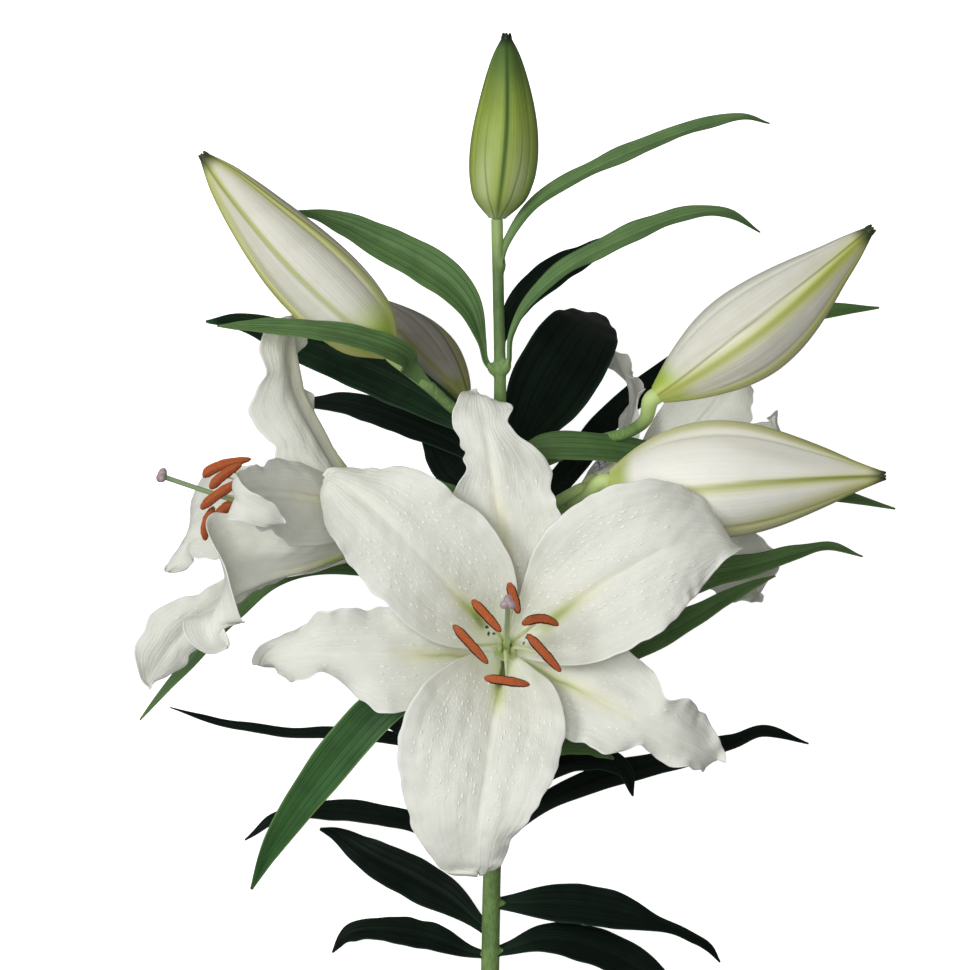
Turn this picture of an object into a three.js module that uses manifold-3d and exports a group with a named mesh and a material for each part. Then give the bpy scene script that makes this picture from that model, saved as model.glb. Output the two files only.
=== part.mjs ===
// A cut flowering stem of a white Oriental lily, lying on its back on a level surface.
// Millimetres, +Z up. +Y runs along the stem from the cut end to the top bud, and +X lies to its right.
// The origin is on the surface, under the middle of the plant's outline.
//
// The plant is made of these pieces, each its own closed solid:
//   the stem with the flower stalks that grew from it, 26 leaves, 5 closed buds, and 3 open blooms,
//   each bloom with 3 broad inner and 3 narrower outer tepals, a ring of 6 stamens and a pistil.
//
// Blades (leaves and tepals) are thin lofts: a midrib curve, a width profile along it, a bend and a fold
// across it, and a ruffle that grows towards the edges.

import * as THREE from "three";
import { mergeVertices } from "three/addons/utils/BufferGeometryUtils.js";
import Module from "manifold-3d";

const wasm = await Module();
wasm.setup();

// ---------------------------------------------------------------- driving dimensions (mm)

const GAP = 0.35; // clearance between pieces that touch on the living plant
const STALK_RADIUS = { foot: 2.3, neck: 2.6 };
const SEAT = { radius: 5.9, height: 6 }; // the swollen stalk end that carries a bloom
const BUD_SEAT_RADIUS = 3.6;

const LEAF_THICKNESS = { midrib: 1.3, edge: 0.65 };
const TEPAL_THICKNESS = { midrib: 1.1, edge: 0.7 };

const STAMEN = {
  ringInner: 2.0, ringOuter: 3.3, ringTop: 1.7,
  filamentRadius: 0.8, antherLength: 19, antherRadius: 1.9,
};
const PISTIL = { ovaryRadius: 1.45, styleRadius: 1.1, stigmaRadius: 3.1 };

// The middle of the plant's outline, which becomes the origin.
const OUTLINE_MIDDLE = new THREE.Vector3(12.2, -42.4, 0);

const LEAF_GRID = { rows: 11, columns: 2 };
const TEPAL_GRID = { rows: 10, columns: 6 };

// Relative width at equal steps from the base to the tip.
const LEAF_OUTLINE = [0.2, 0.4, 0.7, 0.92, 1, 0.97, 0.85, 0.66, 0.4, 0.06];
const STALKED_LEAF_OUTLINE = [0.16, 0.18, 0.5, 0.85, 1, 0.98, 0.87, 0.68, 0.42, 0.06];
const BRACT_OUTLINE = [
  0.14, 0.18, 0.78, 1, 1, 1, 0.98, 0.96, 0.93, 0.9, 0.86, 0.8, 0.73, 0.64, 0.54, 0.43, 0.31, 0.18, 0.05,
];
const TRAILING_OUTLINE = [0.2, 0.4, 0.55, 0.6, 0.62, 0.65, 0.75, 0.88, 0.85, 0.5, 0.06];
const LONG_TIP_OUTLINE = [0.2, 0.45, 0.75, 0.95, 1, 0.95, 0.8, 0.55, 0.32, 0.26, 0.24, 0.05];
const INNER_OUTLINE = [0.15, 0.23, 0.42, 0.7, 0.93, 1, 0.99, 0.92, 0.76, 0.5, 0.14];
const OUTER_OUTLINE = [0.2, 0.26, 0.52, 0.8, 0.95, 1, 0.95, 0.8, 0.62, 0.42, 0.12];
// Bend across a tepal (1/mm) at equal steps from the base to the tip: positive lifts its edges inwards.
const TEPAL_BEND = [0.2, 0.15, 0.07, 0.03, 0.014, 0.006, 0, -0.006, -0.012, -0.02];
const CUPPED_BEND = [0.2, 0.15, 0.08, 0.05, 0.045, 0.042, 0.036, 0.02, 0.0, -0.01];
// Bud radius at equal steps from the stalk to the beak, relative to its widest.
const BUD_OUTLINE = [0.24, 0.74, 0.93, 1, 1, 0.95, 0.85, 0.72, 0.57, 0.38, 0.1];
const SLIM_BUD_OUTLINE = [0.22, 0.54, 0.79, 0.96, 1.03, 0.99, 0.87, 0.7, 0.5, 0.31, 0.08];
const BROAD_BUD_OUTLINE = [0.22, 0.58, 0.83, 0.96, 1, 0.95, 0.83, 0.66, 0.47, 0.26, 0.08];

// ---------------------------------------------------------------- the stem and its stalks

const STEM_PATH = [
  [1.5, -264, 3.4], [1.8, -230, 10], [2.2, -194, 19], [3, -153, 34], [5, -105, 54], [6, -62, 66],
  [6.2, -20, 78], [6, 20, 86], [6, 45, 90], [5.4, 74, 94], [4.8, 106.5, 97],
];
const STEM_RADII = [3.9, 3.85, 3.8, 3.7, 3.6, 3.5, 3.3, 2.9, 2.6, 2.35, 2.45];

const BUDS = [
  {
    name: "bud_top", tone: "budGreen", base: [4.8, 106.5, 97], tip: [8.6, 179.5, 101], bow: 1.4,
    width: 27, depth: 27, turn: 86, stalk: null,
  },
  {
    name: "bud_left", tone: "budWhite", base: [-37.5, 52.8, 108], tip: [-112, 130.8, 120], bow: -1.9,
    width: 33, depth: 32, turn: 84, stalk: [[6.1, 30, 87.5], [-8, 28, 96], [-21, 38, 103]],
  },
  {
    name: "bud_left_back", tone: "budWhite", base: [-8.5, 34.5, 73], tip: [-52, 79, 0.4], bow: 0,
    width: 27, depth: 29, turn: 75, outline: SLIM_BUD_OUTLINE,
    stalk: [[6.1, 18, 85.6], [0, 23, 81], [-4, 29, 77.5]],
  },
  {
    name: "bud_right_upper", tone: "budWhite", base: [69, 36, 101], tip: [154, 102, 108], bow: 3,
    width: 36, depth: 34, turn: 90, outline: SLIM_BUD_OUTLINE,
    stalk: [[6.1, 2, 82.5], [28, 11, 74], [46, 18, 74.5], [57, 21, 82], [64, 26, 92]],
  },
  {
    name: "bud_right_lower", tone: "budWhite", base: [50, 1, 99], tip: [159, 3.6, 105], bow: 0,
    width: 47, depth: 39, turn: 93, outline: BROAD_BUD_OUTLINE,
    stalk: [[6.2, -20, 78], [24, -14, 82], [38, -6, 92]],
  },
];

// ---------------------------------------------------------------- the blooms

// A tepal's midrib is a list of [distance from the bloom's axis, height along it, turn in degrees].
// Turns count anticlockwise from the bloom's right, seen from its mouth. left and right are half widths,
// at equal steps from the base to the tip, on the side of the greater and the smaller turn.
// A stamen's anther runs between two places. arch lifts its middle, and bow moves it sideways.
const BLOOMS = [
  {
    name: "front", base: [8.6, -66, 88], axis: [0, 0.12, 0.99],
    stalk: [[6, -52, 69], [7, -58, 76], [8.4, -65.5, 82]],
    pistil: [[0, 0, 0], [0.6, 30, 90], [3, 60, 90], [9.6, 87, 88]],
    tepals: [
      { name: "inner_upper_left", inner: true, ruffle: 2.6, waves: 2.6, phase: 0.1,
        left: [3.3, 7, 13.5, 20, 23, 23.5, 23.5, 22, 19, 14, 7],
        right: [3.3, 7, 15, 23, 27, 28, 27, 25, 19.5, 11.5, 5.5],
        midrib: [[4.2, 0, 140], [7.6, 12, 140], [15.5, 25, 139], [30, 39, 137], [50, 48, 136],
          [74, 50, 136], [91, 43, 137], [97, 37, 138]] },
      { name: "inner_upper_right", inner: true, ruffle: 2.8, waves: 2.4, phase: 0.45,
        left: [3.3, 7, 13.5, 21, 28, 31.5, 32, 30, 25.5, 17, 3],
        right: [3.3, 7, 14, 22, 27, 28.5, 28, 25.5, 20, 12, 3],
        midrib: [[4.2, 0, 20], [7.6, 12, 21], [15.5, 25, 24], [30, 39, 28], [50, 49, 30],
          [74, 52, 29], [91, 46, 25.5], [99, 39, 21.5]] },
      { name: "inner_lower", inner: true, ruffle: 2.2, waves: 2.2, phase: 0.7,
        left: [3.3, 7, 14, 23, 28, 29, 27, 23, 18, 13, 9],
        right: [3.3, 7, 14, 23, 31, 35, 35.5, 33, 28, 22, 15],
        midrib: [[4.2, 0, 262], [7.6, 12, 262], [15.5, 25, 261], [30, 38, 261], [50, 46.5, 261],
          [72, 47, 261], [87, 40, 262], [92, 35, 263]] },
      { name: "outer_top", inner: false, ruffle: 3.6, waves: 3.2, phase: 0.2,
        left: [4.3, 5.5, 10.5, 15, 17, 17.5, 17, 11, 10, 11, 5],
        right: [4.3, 5.5, 10.5, 16, 21, 23.5, 23, 22, 10, 11, 5],
        midrib: [[5.4, 0, 80], [9.6, 10.5, 81], [19, 21, 84], [34, 31.5, 90], [54, 38, 94],
          [80, 37, 95.5], [97, 29, 96.5], [101, 23, 96.5]] },
      { name: "outer_left", inner: false, ruffle: 3.8, waves: 3, phase: 0.55,
        left: [4.3, 5.5, 11, 18, 22, 23.5, 19.5, 8.5, 10, 7.5, 2.5],
        right: [4.3, 5.5, 11, 17, 19, 19.5, 18, 16, 13, 9, 2.5],
        midrib: [[5.4, 0, 198], [9.6, 10.5, 197], [19, 21, 194], [34, 31.5, 189], [54, 38, 185.5],
          [78, 37, 184], [93, 29, 184], [98, 23, 185]] },
      { name: "outer_right", inner: false, ruffle: 3.6, waves: 3.3, phase: 0.85,
        left: [4.3, 5.5, 11, 18, 22, 22, 20, 14.5, 16.5, 13, 8],
        right: [4.3, 5.5, 11, 17, 19.5, 19.5, 17, 8, 9.5, 7.5, 4],
        midrib: [[5.4, 0, 320], [9.6, 10.5, 321], [19, 21, 323], [34, 31.5, 326], [54, 38, 328],
          [76, 37, 329], [90, 29, 330], [95, 23, 331]] },
    ],
    stamens: [
      { turn: 85, from: [9.4, -38.3, 148], to: [13.2, -50.2, 161], arch: 0.8 },
      { turn: 135, from: [-5.1, -45, 151], to: [6.3, -57.5, 155], arch: 0.8 },
      { turn: 190, from: [-12.5, -54.7, 152], to: [1.2, -70, 153], arch: 0.8 },
      { turn: 265, from: [-0.4, -75.5, 153], to: [17.6, -78.2, 153], arch: 1.6 },
      { turn: 335, from: [16.4, -58.3, 154], to: [29.7, -73.1, 153], arch: 0.8 },
      { turn: 25, from: [14.5, -54.7, 149], to: [28.9, -55.1, 150], arch: 2.4, bow: 2.8 },
    ],
  },
  {
    name: "left", base: [-31, -20, 80], axis: [-0.95, 0.12, 0.29],
    stalk: [[6.1, -34, 74], [-6, -29, 75], [-20, -22, 76]],
    pistil: [[0, 0, 0], [0.5, 30, 90], [2.5, 56, 90], [5.7, 76, 90], [11, 103, 90]],
    tepals: [
      { name: "inner_top", inner: true, ruffle: 2.6, waves: 3.4, phase: 0.3,
        bend: [0.2, 0.15, 0.09, 0.06, 0.055, 0.055, 0.05, 0.045, 0.035, 0.02],
        left: [3.3, 5, 7, 7, 6, 6, 6, 6, 6, 6, 4],
        right: [3.3, 5, 11, 20, 27, 28, 26, 24, 21.5, 18, 8],
        twist: [0, 0, -10, -22, -30, -34, -36, -36],
        midrib: [[4.2, 0, 88], [5.6, 11, 88], [9.5, 18, 88], [21, 27.5, 88], [35, 39, 88],
          [50.6, 50.4, 88], [64, 55.4, 88], [74, 56.5, 88], [82, 55, 88]] },
      { name: "inner_near", inner: true, ruffle: 2, waves: 2.4, phase: 0.65, bend: CUPPED_BEND,
        twist: [0, 0, 0, 0, 5, 15, 25, 25, -10, -60, -60],
        left: [3.3, 5, 9, 14, 19.5, 25, 29, 31, 19, 14, 5],
        right: [3.3, 5, 8, 11, 13, 11, 7, 6, 6.5, 9, 4],
        midrib: [[4.2, 0, -58], [5.6, 12, -58], [9.5, 22, -59], [15.1, 33, -60], [22, 46, -60],
          [27.8, 58.6, -60], [32.3, 67.1, -60], [36.3, 73.4, -60], [41.6, 78.9, -60], [47.2, 83.2, -60],
          [53.4, 85.4, -60], [59.4, 83.2, -60], [61.4, 77, -60]] },
      { name: "inner_far", inner: true, ruffle: 2.6, waves: 2.6, phase: 0.15,
        left: [3.3, 5, 8.5, 12, 15, 16, 14, 12, 10, 7, 3],
        right: [3.3, 5, 9.5, 17, 22, 24, 26, 27, 27, 7, 2.5],
        midrib: [[4.2, 0, 199], [6, 12, 198], [11, 30, 195], [19, 50, 192], [31, 65, 191],
          [45, 75, 193], [52.2, 77.5, 198], [59, 83, 205]] },
      { name: "outer_near", inner: false, ruffle: 1.8, waves: 2.6, phase: 0.8,
        left: [4.3, 5.5, 9, 12, 15, 17, 14, 9.5, 8, 6.5, 2.5],
        right: [4.3, 5.5, 10, 15, 18, 19, 16, 11, 8, 6, 2.5],
        bend: [0.15, 0.12, 0.06, 0.035, 0.03, 0.025, 0.015, 0.01, 0.01, 0.01],
        midrib: [[5.4, 0, 30], [8.5, 12, 29], [15, 24, 25], [24, 41, 20], [33, 59, 15],
          [42, 76, 10], [49, 86, 6], [56, 84, 2], [59, 75, -1], [58, 67, -3]] },
      { name: "outer_low", inner: false, ruffle: 2.6, waves: 2.6, phase: 0.5,
        left: [4.3, 5.5, 9, 7, 2.5, 2.5, 3.5, 6, 8, 7, 2],
        right: [4.3, 5.5, 8, 8, 8, 8, 8, 8.5, 14, 12.5, 2.5],
        twist: [0, 0, 0, 0, 0, -15, -40, -60, -66, -70, -70],
        bend: [0.15, 0.12, 0.06, 0.03, 0.02, 0.01, 0, -0.01, -0.015, -0.02],
        midrib: [[5.4, 0, 262], [8.5, 12, 258], [14, 25, 249], [22, 40, 240], [32, 54, 233],
          [40.5, 62, 232], [47, 69.3, 234], [54, 76, 236], [61.3, 81.3, 239], [70.4, 85.3, 240],
          [79, 87.7, 240], [83.7, 87.3, 240]] },
      { name: "outer_far", inner: false, width: 36, ruffle: 2.6, waves: 2.8, phase: 0.2,
        midrib: [[5.4, 0, 142], [7.2, 10, 142], [13, 19, 145], [25, 29, 149], [34, 37, 151],
          [42, 42, 153], [48, 43, 155], [51, 40, 156]] },
    ],
    stamens: [
      { turn: 95, from: [-112, 3.2, 104], to: [-92.8, 10.4, 106], arch: 4 },
      { turn: 45, from: [-109.2, -1.6, 110], to: [-96.4, 8.4, 112], arch: 1.5 },
      { turn: 10, from: [-112.8, -9.6, 114], to: [-95.2, 2.4, 116], arch: 1.5 },
      { turn: -50, from: [-111.2, -22, 108], to: [-107.4, -8.6, 112], arch: 1.5 },
      { turn: -120, from: [-108, -14, 94], to: [-99, -6, 99], arch: 1 },
      { turn: 160, from: [-100, -8, 92], to: [-92, 1, 103], arch: 1 },
    ],
  },
  {
    name: "back", base: [44.8, -1.2, 66], axis: [0.72, 0.05, -0.69],
    stalk: [[6.2, -22, 77.6], [20, -12, 75], [36, -3, 71.5]],
    pistil: [[0, 0, 0], [0.2, 26, 90], [0.6, 48, 90], [1.5, 66, 90]],
    tepals: [
      { name: "inner_upper", inner: true, ruffle: 2.4, waves: 2.6, phase: 0.3,
        left: [3.3, 5, 8, 11, 14.5, 18, 18, 17, 14, 9, 3],
        right: [3.3, 5, 8.5, 13, 19, 22, 22, 20, 16, 10, 3],
        midrib: [[4.2, 0, 118], [5.6, 13, 118], [10, 27, 119], [21, 40, 121], [36, 48, 124],
          [51, 50, 126], [61, 46, 128], [65, 38, 129]] },
      { name: "inner_lower", inner: true, ruffle: 2.4, waves: 2.6, phase: 0.6,
        left: [3.3, 5, 7.4, 9.5, 14, 19, 22, 20, 16, 10, 3],
        right: [3.3, 5, 8, 11, 14.5, 18, 18, 17, 14, 9, 3],
        midrib: [[4.2, 0, 238], [5.6, 13, 238], [10, 27, 237], [21, 40, 233], [35, 48, 229],
          [49, 52, 226], [60, 50, 224], [65, 43, 223]] },
      { name: "inner_under", inner: true, ruffle: 1, waves: 2.6, phase: 0.9,
        left: [3.3, 5, 8, 11.5, 16, 19, 20, 18.5, 15, 10, 3],
        right: [3.3, 5, 7.4, 9.5, 13, 18, 20, 18.5, 15, 10, 3],
        bend: [0.2, 0.15, 0.07, 0.03, 0.014, 0.004, 0, 0, 0, 0],
        midrib: [[4.2, 0, 358], [5.6, 13, 358], [9.5, 27, 358], [17, 39, 358], [25, 48, 358],
          [33, 53.6, 358], [40, 52.5, 358], [46, 46.8, 358], [49, 39, 358]] },
      { name: "outer_upper", inner: false, width: 28, ruffle: 3, waves: 3.4, phase: 0.1,
        twist: [0, 0, -12, -24, -24, -24, -24, -24],
        midrib: [[5.4, 0, 60], [7.8, 11, 60], [15, 22, 60], [27, 33, 59], [38, 42, 58],
          [47, 46.5, 58], [54, 45, 59], [60, 38, 62]] },
      { name: "outer_side", inner: false, width: 30, ruffle: 2.4, waves: 2.8, phase: 0.4,
        midrib: [[5.4, 0, 178], [7.8, 12, 177], [15, 24, 175], [28, 35, 171], [42, 43, 167],
          [55, 47, 162], [63, 45, 159], [66, 38, 157]] },
      { name: "outer_under", inner: false, width: 31, ruffle: 2, waves: 2.8, phase: 0.7,
        midrib: [[5.4, 0, 298], [7.8, 11, 298], [15, 21, 297], [28, 29, 296], [41, 32, 295],
          [52, 30, 294], [59, 23, 293], [58, 14, 292]] },
    ],
    stamens: [80, 140, 200, 260, 320, 20].map((turn) => ({ turn, reach: 20, height: 53 })),
  },
];

// ---------------------------------------------------------------- the leaves

// path runs from the stem to the tip. roll turns the blade about its midrib, in degrees at equal steps
// along it: at 0 its upper face looks straight up.
const LEAVES = [
  { name: "leaf_top_right", tone: "leafYoung", width: 13.5, fold: 0.25, roll: [-50, -62, -62, -58, -50],
    path: [[5.4, 84, 95], [9, 97, 98], [22, 113, 101], [49, 128, 104], [81, 141, 103], [102, 146.5, 99],
      [113.6, 144.4, 95]] },
  { name: "leaf_upper_right", tone: "leafYoung", width: 15, fold: 0.25, roll: [-60, -62, -60, -58, -55],
    outline: STALKED_LEAF_OUTLINE,
    path: [[6, 44.5, 90], [9.2, 49, 93.5], [10.4, 60, 97.5], [18, 73, 100], [34, 86.5, 102.5],
      [54, 97, 104], [78, 106.5, 101], [96, 108.5, 97], [110, 101, 92]] },
  { name: "leaf_upper_right_back", tone: "leafDark", width: 14, fold: 0.15, roll: [-20, -30, -35, -30],
    path: [[5.6, 55, 91.4], [9, 64, 88], [16, 75, 85], [28, 85, 82], [40, 92, 80], [50, 97, 79],
      [59, 102, 78]] },
  { name: "leaf_upper_left", tone: "leafMid", width: 17, fold: 0.2, roll: [45, 30, 25, 30, 40],
    outline: STALKED_LEAF_OUTLINE,
    path: [[6, 44.5, 90], [0.6, 49, 92], [-1.6, 58, 95], [-6, 70, 97.5], [-14, 80, 97.5], [-26, 88.5, 96],
      [-40, 96, 93], [-54, 103, 90], [-66, 107.5, 87.5], [-77, 109.6, 86]] },
  { name: "leaf_back_right", tone: "leafDark", width: 34, fold: 0.08, roll: [-10, -10, -10, -10],
    path: [[6.1, 8, 83.8], [14, 18, 75], [22, 32, 64], [30, 46, 54], [38, 59, 43], [43, 66, 28],
      [45, 69, 13], [46, 71, 0]] },
  { name: "leaf_left_bract", tone: "leafMid", width: 13.5, fold: 0.15, roll: [-40, 35, 50, 50, 40],
    path: [[-20, 37.5, 102], [-29, 46, 112], [-33, 51.5, 126], [-48, 57, 133], [-68, 61, 133],
      [-88, 62.5, 127], [-106, 63, 118]] },
  { name: "leaf_left_dark", tone: "leafDark", width: 21, fold: 0.12, roll: [20, 22, 28, 35],
    path: [[6.1, 16, 85.4], [-10, 26, 84], [-32, 39, 79], [-56, 50, 73], [-80, 59, 71], [-98, 65, 75],
      [-112, 65.5, 81]] },
  { name: "leaf_left_back", tone: "leafDark", width: 15, fold: 0.12, roll: [30, 40, 40, 30],
    path: [[6.1, 4, 82.9], [-12, 16, 66], [-32, 25, 47], [-52, 32, 30], [-68, 34, 15], [-80, 32, 3]] },
  { name: "leaf_back_left", tone: "leafDark", width: 22, fold: 0.1, roll: [-10, -10, -10, -10],
    path: [[6.2, -6, 81], [-4, 2, 68], [-12, 11, 53], [-17, 21, 38], [-20, 31, 26], [-22, 39, 18]] },
  { name: "leaf_left_small", tone: "leafMid", width: 14, fold: 0.2, roll: [40, 50, 50, 40],
    path: [[6.2, -18, 78.6], [-4, -11, 79], [-16, -4.5, 78.5], [-27, 1.5, 77], [-36, 6, 75]] },
  { name: "leaf_right_bract", tone: "leafMid", width: 15.5, fold: 0.2, roll: [-38, -45, -45, -35, -30],
    outline: BRACT_OUTLINE,
    path: [[6.1, 8, 83.8], [13, 13, 87], [20, 14.6, 89.5], [30, 15, 90], [42, 14.6, 87], [53, 13.6, 81],
      [66, 11.4, 75.5], [98, 4, 75.6], [136, -3, 76], [165, -9.6, 75]] },
  { name: "leaf_right_far", tone: "leafDark", width: 18, fold: 0.15, roll: [-20, -20, -30, -45],
    outline: TRAILING_OUTLINE,
    path: [[6.2, -16, 79], [23, -6, 50], [37, 9, 27], [49, 25, 12], [68, 41, 7.5], [98, 58, 25],
      [128, 69, 50], [159, 71.5, 64]] },
  { name: "leaf_right_middle", tone: "leafMid", width: 16, fold: 0.2, roll: [-40, -35, -35, -50, -55],
    path: [[6, -62, 66], [30, -60, 66], [60, -50, 70], [84, -38, 73], [102, -34, 75], [114, -31, 76],
      [126, -27.5, 76], [139, -25, 75], [152, -28.8, 72]] },
  { name: "leaf_right_front", tone: "leafMid", width: 14, fold: 0.2, roll: [-40, -40, -42, -45],
    path: [[5.8, -78, 62], [28, -77, 72], [56, -67, 84], [71, -60.5, 87], [84, -53, 88], [95.5, -46, 88],
      [106, -40.5, 87], [116.4, -36.4, 85]] },
  { name: "leaf_low_right", tone: "leafDark", width: 15, fold: 0.2, roll: [-45, -50, -52, -55, -50],
    path: [[3, -153, 34], [11, -141, 38], [26, -129, 41], [50, -119, 42], [78, -112, 42], [100, -105.5, 40],
      [114, -100.5, 37], [132, -105.5, 33]] },
  { name: "leaf_right_small", tone: "leafDark", width: 14, fold: 0.2, roll: [-45, -50, -40, -30],
    path: [[4, -128, 45], [17, -120, 52], [32, -113, 58], [46, -111, 60], [56, -115, 57], [60, -126, 51]] },
  { name: "leaf_right_short", tone: "leafMid", width: 15, fold: 0.15, roll: [-40, -40, -40, -40],
    path: [[4.6, -112, 51.6], [18, -107, 60], [32, -104, 66], [44, -106, 67], [52, -110.5, 65]] },
  { name: "leaf_left_long", tone: "leafDark", width: 9, fold: 0.2, roll: [55, 58, 60, 55],
    path: [[4.4, -116, 50.2], [-14.2, -109.8, 41], [-36.7, -104, 33], [-63.3, -101.6, 28],
      [-81.8, -101.7, 25], [-108.5, -97.2, 22], [-129, -91.1, 20]] },
  { name: "leaf_left_front", tone: "leafMid", width: 17, fold: 0.3, roll: [10, 12, 12, 10],
    path: [[5.9, -70, 64.4], [-8, -73, 74], [-24, -79, 82], [-40.5, -89, 84], [-54, -103, 80],
      [-67, -119, 73], [-78, -134, 65], [-88, -150, 56], [-94.8, -164, 48]] },
  { name: "leaf_left_inner", tone: "leafDark", width: 20, fold: 0.1, roll: [0, 0, 0, 0],
    path: [[5, -104, 54.3], [-10, -100, 53], [-26, -95, 51], [-40, -89, 48], [-52, -82.5, 44]] },
  { name: "leaf_low_left", tone: "leafDark", width: 15, fold: 0.2, roll: [50, 55, 58, 50],
    path: [[3.2, -148, 36], [-14.3, -143.9, 31], [-36.8, -136.9, 26], [-59.4, -134.2, 20],
      [-82.1, -135.4, 15], [-98.6, -145.8, 12]] },
  { name: "leaf_bottom_left", tone: "leafDark", width: 18, fold: 0.15, roll: [25, 22, 20, 20],
    path: [[2.3, -184, 22], [-4.1, -178.1, 21], [-14.3, -170.1, 19], [-28.7, -162, 16],
      [-46.2, -153, 12], [-59.6, -144.4, 9], [-67.9, -141.4, 8]] },
  { name: "leaf_base_left", tone: "leafDark", width: 16, fold: 0.2, roll: [48, 48, 48, 45],
    path: [[2.1, -193, 19.3], [-8.2, -191.1, 18], [-22.6, -186.1, 16], [-39, -183.3, 13],
      [-51.4, -183.5, 10], [-57.6, -186.1, 8], [-62.8, -192.4, 6]] },
  { name: "leaf_bottom_right", tone: "leafDark", width: 18, fold: 0.15, roll: [-28, -28, -30, -40],
    outline: LONG_TIP_OUTLINE,
    path: [[2.5, -171, 26.6], [16, -171, 28], [32, -171.5, 26], [48, -173.5, 22], [62, -177, 18],
      [76, -182, 13], [85, -186, 10], [92, -190.5, 8], [96.7, -196.3, 7]] },
  { name: "leaf_base_right", tone: "leafDark", width: 19, fold: 0.2, roll: [-38, -38, -40, -40],
    path: [[2.1, -192, 19.6], [10.2, -189.9, 21], [24.6, -186.3, 21], [43, -189.6, 18],
      [59.5, -197, 14], [76, -207.6, 10], [90.5, -219.1, 6]] },
  { name: "leaf_far_left", tone: "leafMid", width: 14, fold: 0.2, roll: [35, 45, 48, 45],
    path: [[6.1, -42, 72], [-16, -38, 62], [-40, -34, 57], [-64, -32, 53], [-84, -37.5, 50], [-100, -50, 47],
      [-116, -67.5, 44], [-128, -81, 42], [-140.4, -95.6, 40]] },
];

// ---------------------------------------------------------------- materials

const MATERIALS = {
  tepal: new THREE.MeshStandardMaterial({ color: 0xf2f3ee, roughness: 0.55, metalness: 0 }),
  budWhite: new THREE.MeshStandardMaterial({ color: 0xe4e5d3, roughness: 0.5, metalness: 0 }),
  budGreen: new THREE.MeshStandardMaterial({ color: 0x8aa24c, roughness: 0.5, metalness: 0 }),
  leafDark: new THREE.MeshStandardMaterial({ color: 0x16281c, roughness: 0.5, metalness: 0 }),
  leafMid: new THREE.MeshStandardMaterial({ color: 0x3a6a38, roughness: 0.5, metalness: 0 }),
  leafYoung: new THREE.MeshStandardMaterial({ color: 0x527f45, roughness: 0.5, metalness: 0 }),
  stem: new THREE.MeshStandardMaterial({ color: 0x6f9c55, roughness: 0.5, metalness: 0 }),
  stamen: new THREE.MeshStandardMaterial({ color: 0xb85c33, roughness: 0.8, metalness: 0 }),
  pistil: new THREE.MeshStandardMaterial({ color: 0x8fa77e, roughness: 0.5, metalness: 0 }),
};

// ---------------------------------------------------------------- small maths

const vector = ([x, y, z]) => new THREE.Vector3(x, y, z);
const radians = (degrees) => (degrees * Math.PI) / 180;
const smooth = (low, high, x) => THREE.MathUtils.smoothstep(x, low, high);

// The value at share s of a list given at equal steps, on a smooth curve through it.
function along(list, s) {
  const last = list.length - 1;
  const i = Math.min(last - 1, Math.floor(s * last));
  const t = s * last - i;
  const p1 = list[i];
  const p2 = list[i + 1];
  const p0 = i > 0 ? list[i - 1] : 2 * p1 - p2;
  const p3 = i + 2 <= last ? list[i + 2] : 2 * p2 - p1;
  const a = 2 * p1 + (p2 - p0) * t + (2 * p0 - 5 * p1 + 4 * p2 - p3) * t * t;
  return (a + (3 * p1 - p0 - 3 * p2 + p3) * t * t * t) / 2;
}

// A curve through the points, sampled evenly by its length: places and directions at rows + 1 stations.
function stations(points, rows) {
  const curve = new THREE.CatmullRomCurve3(points, false, "catmullrom", 0.5);
  curve.arcLengthDivisions = 400;
  const out = [];
  for (let i = 0; i <= rows; i++) {
    const s = i / rows;
    out.push({ s, place: curve.getPointAt(s), heading: curve.getTangentAt(s) });
  }
  return out;
}

// A mesh solid from points and faces, and back.
function solid(points, faces) {
  const vertProperties = new Float32Array(points.flatMap((p) => [p.x, p.y, p.z]));
  const triVerts = new Uint32Array(faces.flat());
  return new wasm.Manifold(new wasm.Mesh({ numProp: 3, vertProperties, triVerts }));
}

function geometryOf(body) {
  const mesh = body.getMesh();
  const places = new Float32Array(mesh.numVert * 3);
  for (let i = 0; i < mesh.numVert; i++) {
    places.set(mesh.vertProperties.subarray(i * mesh.numProp, i * mesh.numProp + 3), i * 3);
  }
  const geometry = new THREE.BufferGeometry();
  geometry.setAttribute("position", new THREE.BufferAttribute(places, 3));
  geometry.setIndex(new THREE.BufferAttribute(new Uint32Array(mesh.triVerts), 1));
  geometry.computeVertexNormals();
  return geometry;
}

function solidOf(geometry) {
  const bare = geometry.clone();
  bare.deleteAttribute("normal");
  bare.deleteAttribute("uv");
  const merged = mergeVertices(bare, 1e-4);
  const vertProperties = merged.attributes.position.array;
  const triVerts = new Uint32Array(merged.index.array);
  return new wasm.Manifold(new wasm.Mesh({ numProp: 3, vertProperties, triVerts }));
}

// The largest of a solid's separate bodies.
const largest = (body) => body.decompose().reduce((a, b) => (b.volume() > a.volume() ? b : a));

// ---------------------------------------------------------------- shapes

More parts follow.
